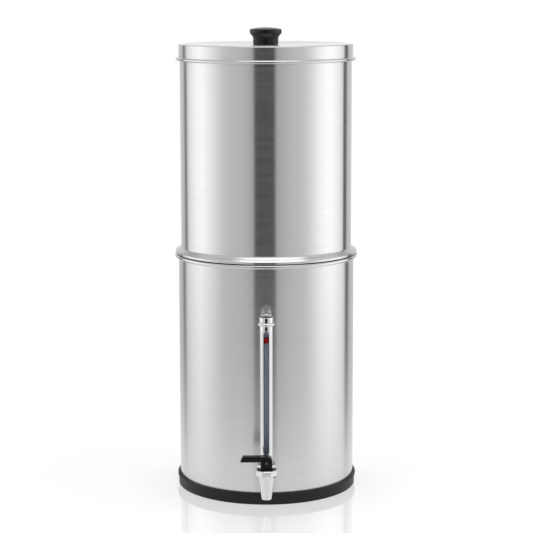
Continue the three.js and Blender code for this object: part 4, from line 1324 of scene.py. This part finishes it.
bpy.ops.object.select_all(action="DESELECT")
bpy.ops.mesh.primitive_plane_add(size=table_size, location=(0, 0, 0))
table = bpy.context.object
table.name = "table"
board = bpy.data.materials.new("white board")
board.use_nodes = True
tree = board.node_tree
tree.nodes.clear()
place = layer(tree, "TexCoord").outputs["Object"]
distance = layer(tree, "VectorMath", {0: place}, operation="LENGTH").outputs["Value"]
out_share = layer(tree, "MapRange", {"Value": distance, "From Max": table_reach})
glow_with_painted_shade = ramp(tree, out_share, [(far / table_reach, grey) for far, grey in table_glow_with_painted_shade])
fade = ramp(tree, out_share, [(far / table_reach, *rest) for far, *rest in table_in_metal_painted_light_and_shade])
matt = layer(tree, "BsdfDiffuse", {"Color": (*table_white, 1)})
white = layer(tree, "AddShader", {0: matt, 1: layer(tree, "Emission", {"Color": glow_with_painted_shade})})
mirror = layer(tree, "BsdfGlossy", {"Roughness": table_roughness})
seen = layer(tree, "MixShader", {"Fac": table_gloss, 1: white, 2: mirror})
soft_white = layer(tree, "Emission", {"Color": fade})
clear = layer(tree, "BsdfTransparent", {"Color": (*mirror_white, 1)})
reflected = layer(tree, "MixShader", {"Fac": fade.outputs["Alpha"], 1: clear, 2: soft_white})
in_metal = layer(tree, "LightPath").outputs["Is Glossy Ray"]
chosen = layer(tree, "MixShader", {"Fac": in_metal, 1: seen, 2: reflected})
layer(tree, "OutputMaterial", {"Surface": chosen})
table.data.materials.append(board)

# Studio
# A white room, lit plainly. In the metal it shows as a ring of tall screens: pale ones to
# the left and right, a dark gap in front and two narrow dark edges towards the back. The
# ceiling over them is brighter towards its middle.
screen_stops = [
    (-180, 1.04), (-170, 0.75), (-152, 0.66), (-141.5, 0.6), (-138.5, 0.2), (-134.5, 0.2),
    (-131, 0.62), (-127, 0.95), (-122, 1.06), (-108, 1.29), (-95, 1.41), (-79, 1.16), (-58, 0.77),
    (-45, 0.69), (-30, 0.63), (-16.8, 0.49), (-14.8, 0.068), (11.6, 0.068), (13.4, 0.49),
    (36, 0.67), (48, 0.72), (57, 0.84), (77, 1.28), (90, 1.43), (99, 1.41), (112, 1.22),
    (124.5, 0.95), (128, 0.14), (135.5, 0.14), (140, 0.64), (168, 0.75), (180, 1.04),
]
screen_peak = 1.45
screen_head = (0.38, 0.46)
sky_stops = [(0.0, 0.5), (0.58, 0.5), (0.66, 0.75), (0.9, 0.75), (0.945, 2.2), (1.0, 2.2)]
sky_peak = 2.2
sky_shift = 0.06
low_down = (-0.12, -0.22)
leftward = (-0.2, -0.8)
left_dim = 0.16
lamp_aim = Vector((0, 0, 0.3))
lamps = [
    ("left softbox", (-1.6, -1.6, 1.5), 1.2, 16),
    ("right softbox", (1.7, -1.3, 1.4), 1.2, 16),
    ("top softbox", (0.0, 0.2, 2.2), 1.6, 14),
]

world = bpy.data.worlds.new("studio")
bpy.context.scene.world = world
world.use_nodes = True
tree = world.node_tree
tree.nodes.clear()


def between(source, limits):
    """How far a value lies from the first limit to the second, from 0 to 1."""
    return layer(tree, "MapRange", {"Value": source, "From Min": limits[0], "From Max": limits[1]})


way = layer(tree, "SeparateXYZ", {0: layer(tree, "TexCoord").outputs["Generated"]}).outputs
ahead = layer(tree, "Math", {0: way["Y"], 1: -1.0}, operation="MULTIPLY")
bearing = layer(tree, "Math", {0: way["X"], 1: ahead}, operation="ARCTAN2")
around = between(bearing, (-math.pi, math.pi))
screen_greys = [((degrees + 180) / 360, level / screen_peak) for degrees, level in screen_stops]
low_left = layer(
    tree, "Math", {0: between(way["Z"], low_down), 1: between(way["X"], leftward)},
    operation="MULTIPLY",
)
screen_strength = layer(
    tree, "Math", {0: low_left, 1: -left_dim * screen_peak, 2: screen_peak},
    operation="MULTIPLY_ADD",
)
screens = layer(
    tree, "Background", {"Color": ramp(tree, around, screen_greys), "Strength": screen_strength}
)
rise = layer(tree, "Math", {0: way["X"], 1: sky_shift, 2: way["Z"]}, operation="MULTIPLY_ADD")
sky_greys = [(place, level / sky_peak) for place, level in sky_stops]
sky = layer(tree, "Background", {"Color": ramp(tree, rise, sky_greys), "Strength": sky_peak})
in_metal = layer(tree, "MixShader", {"Fac": between(way["Z"], screen_head), 1: screens, 2: sky})
rays = layer(tree, "LightPath").outputs
plain = layer(
    tree, "Math", {0: rays["Is Camera Ray"], 1: rays["Is Transmission Ray"]}, operation="MAXIMUM"
)
room = layer(tree, "Background", {"Color": (1, 1, 1, 1)})
lit = layer(tree, "MixShader", {"Fac": plain, 1: in_metal, 2: room})
layer(tree, "OutputWorld", {"Surface": lit})

for name, place, size, power in lamps:
    bpy.ops.object.light_add(type="AREA", location=place)
    lamp = bpy.context.object
    lamp.name = name
    lamp.data.shape = "SQUARE"
    lamp.data.size = size
    lamp.data.energy = power
    lamp.visible_glossy = False
    lamp.rotation_euler = (lamp_aim - Vector(place)).to_track_quat("-Z", "Y").to_euler()

# Camera
# A long lens at chest height in front of the filter, looking a little down on it.
camera_place = (0.00126, -2.48069, 0.71619)
camera_pitch = 80.93
camera_roll = 0.115
camera_lens = 119.84

camera_turn = (math.radians(camera_pitch), math.radians(camera_roll), 0)
bpy.ops.object.camera_add(location=camera_place, rotation=camera_turn)
camera = bpy.context.object
camera.data.lens = camera_lens
camera.data.sensor_width = 36
bpy.context.scene.camera = camera
bpy.context.scene.view_settings.view_transform = "Standard"
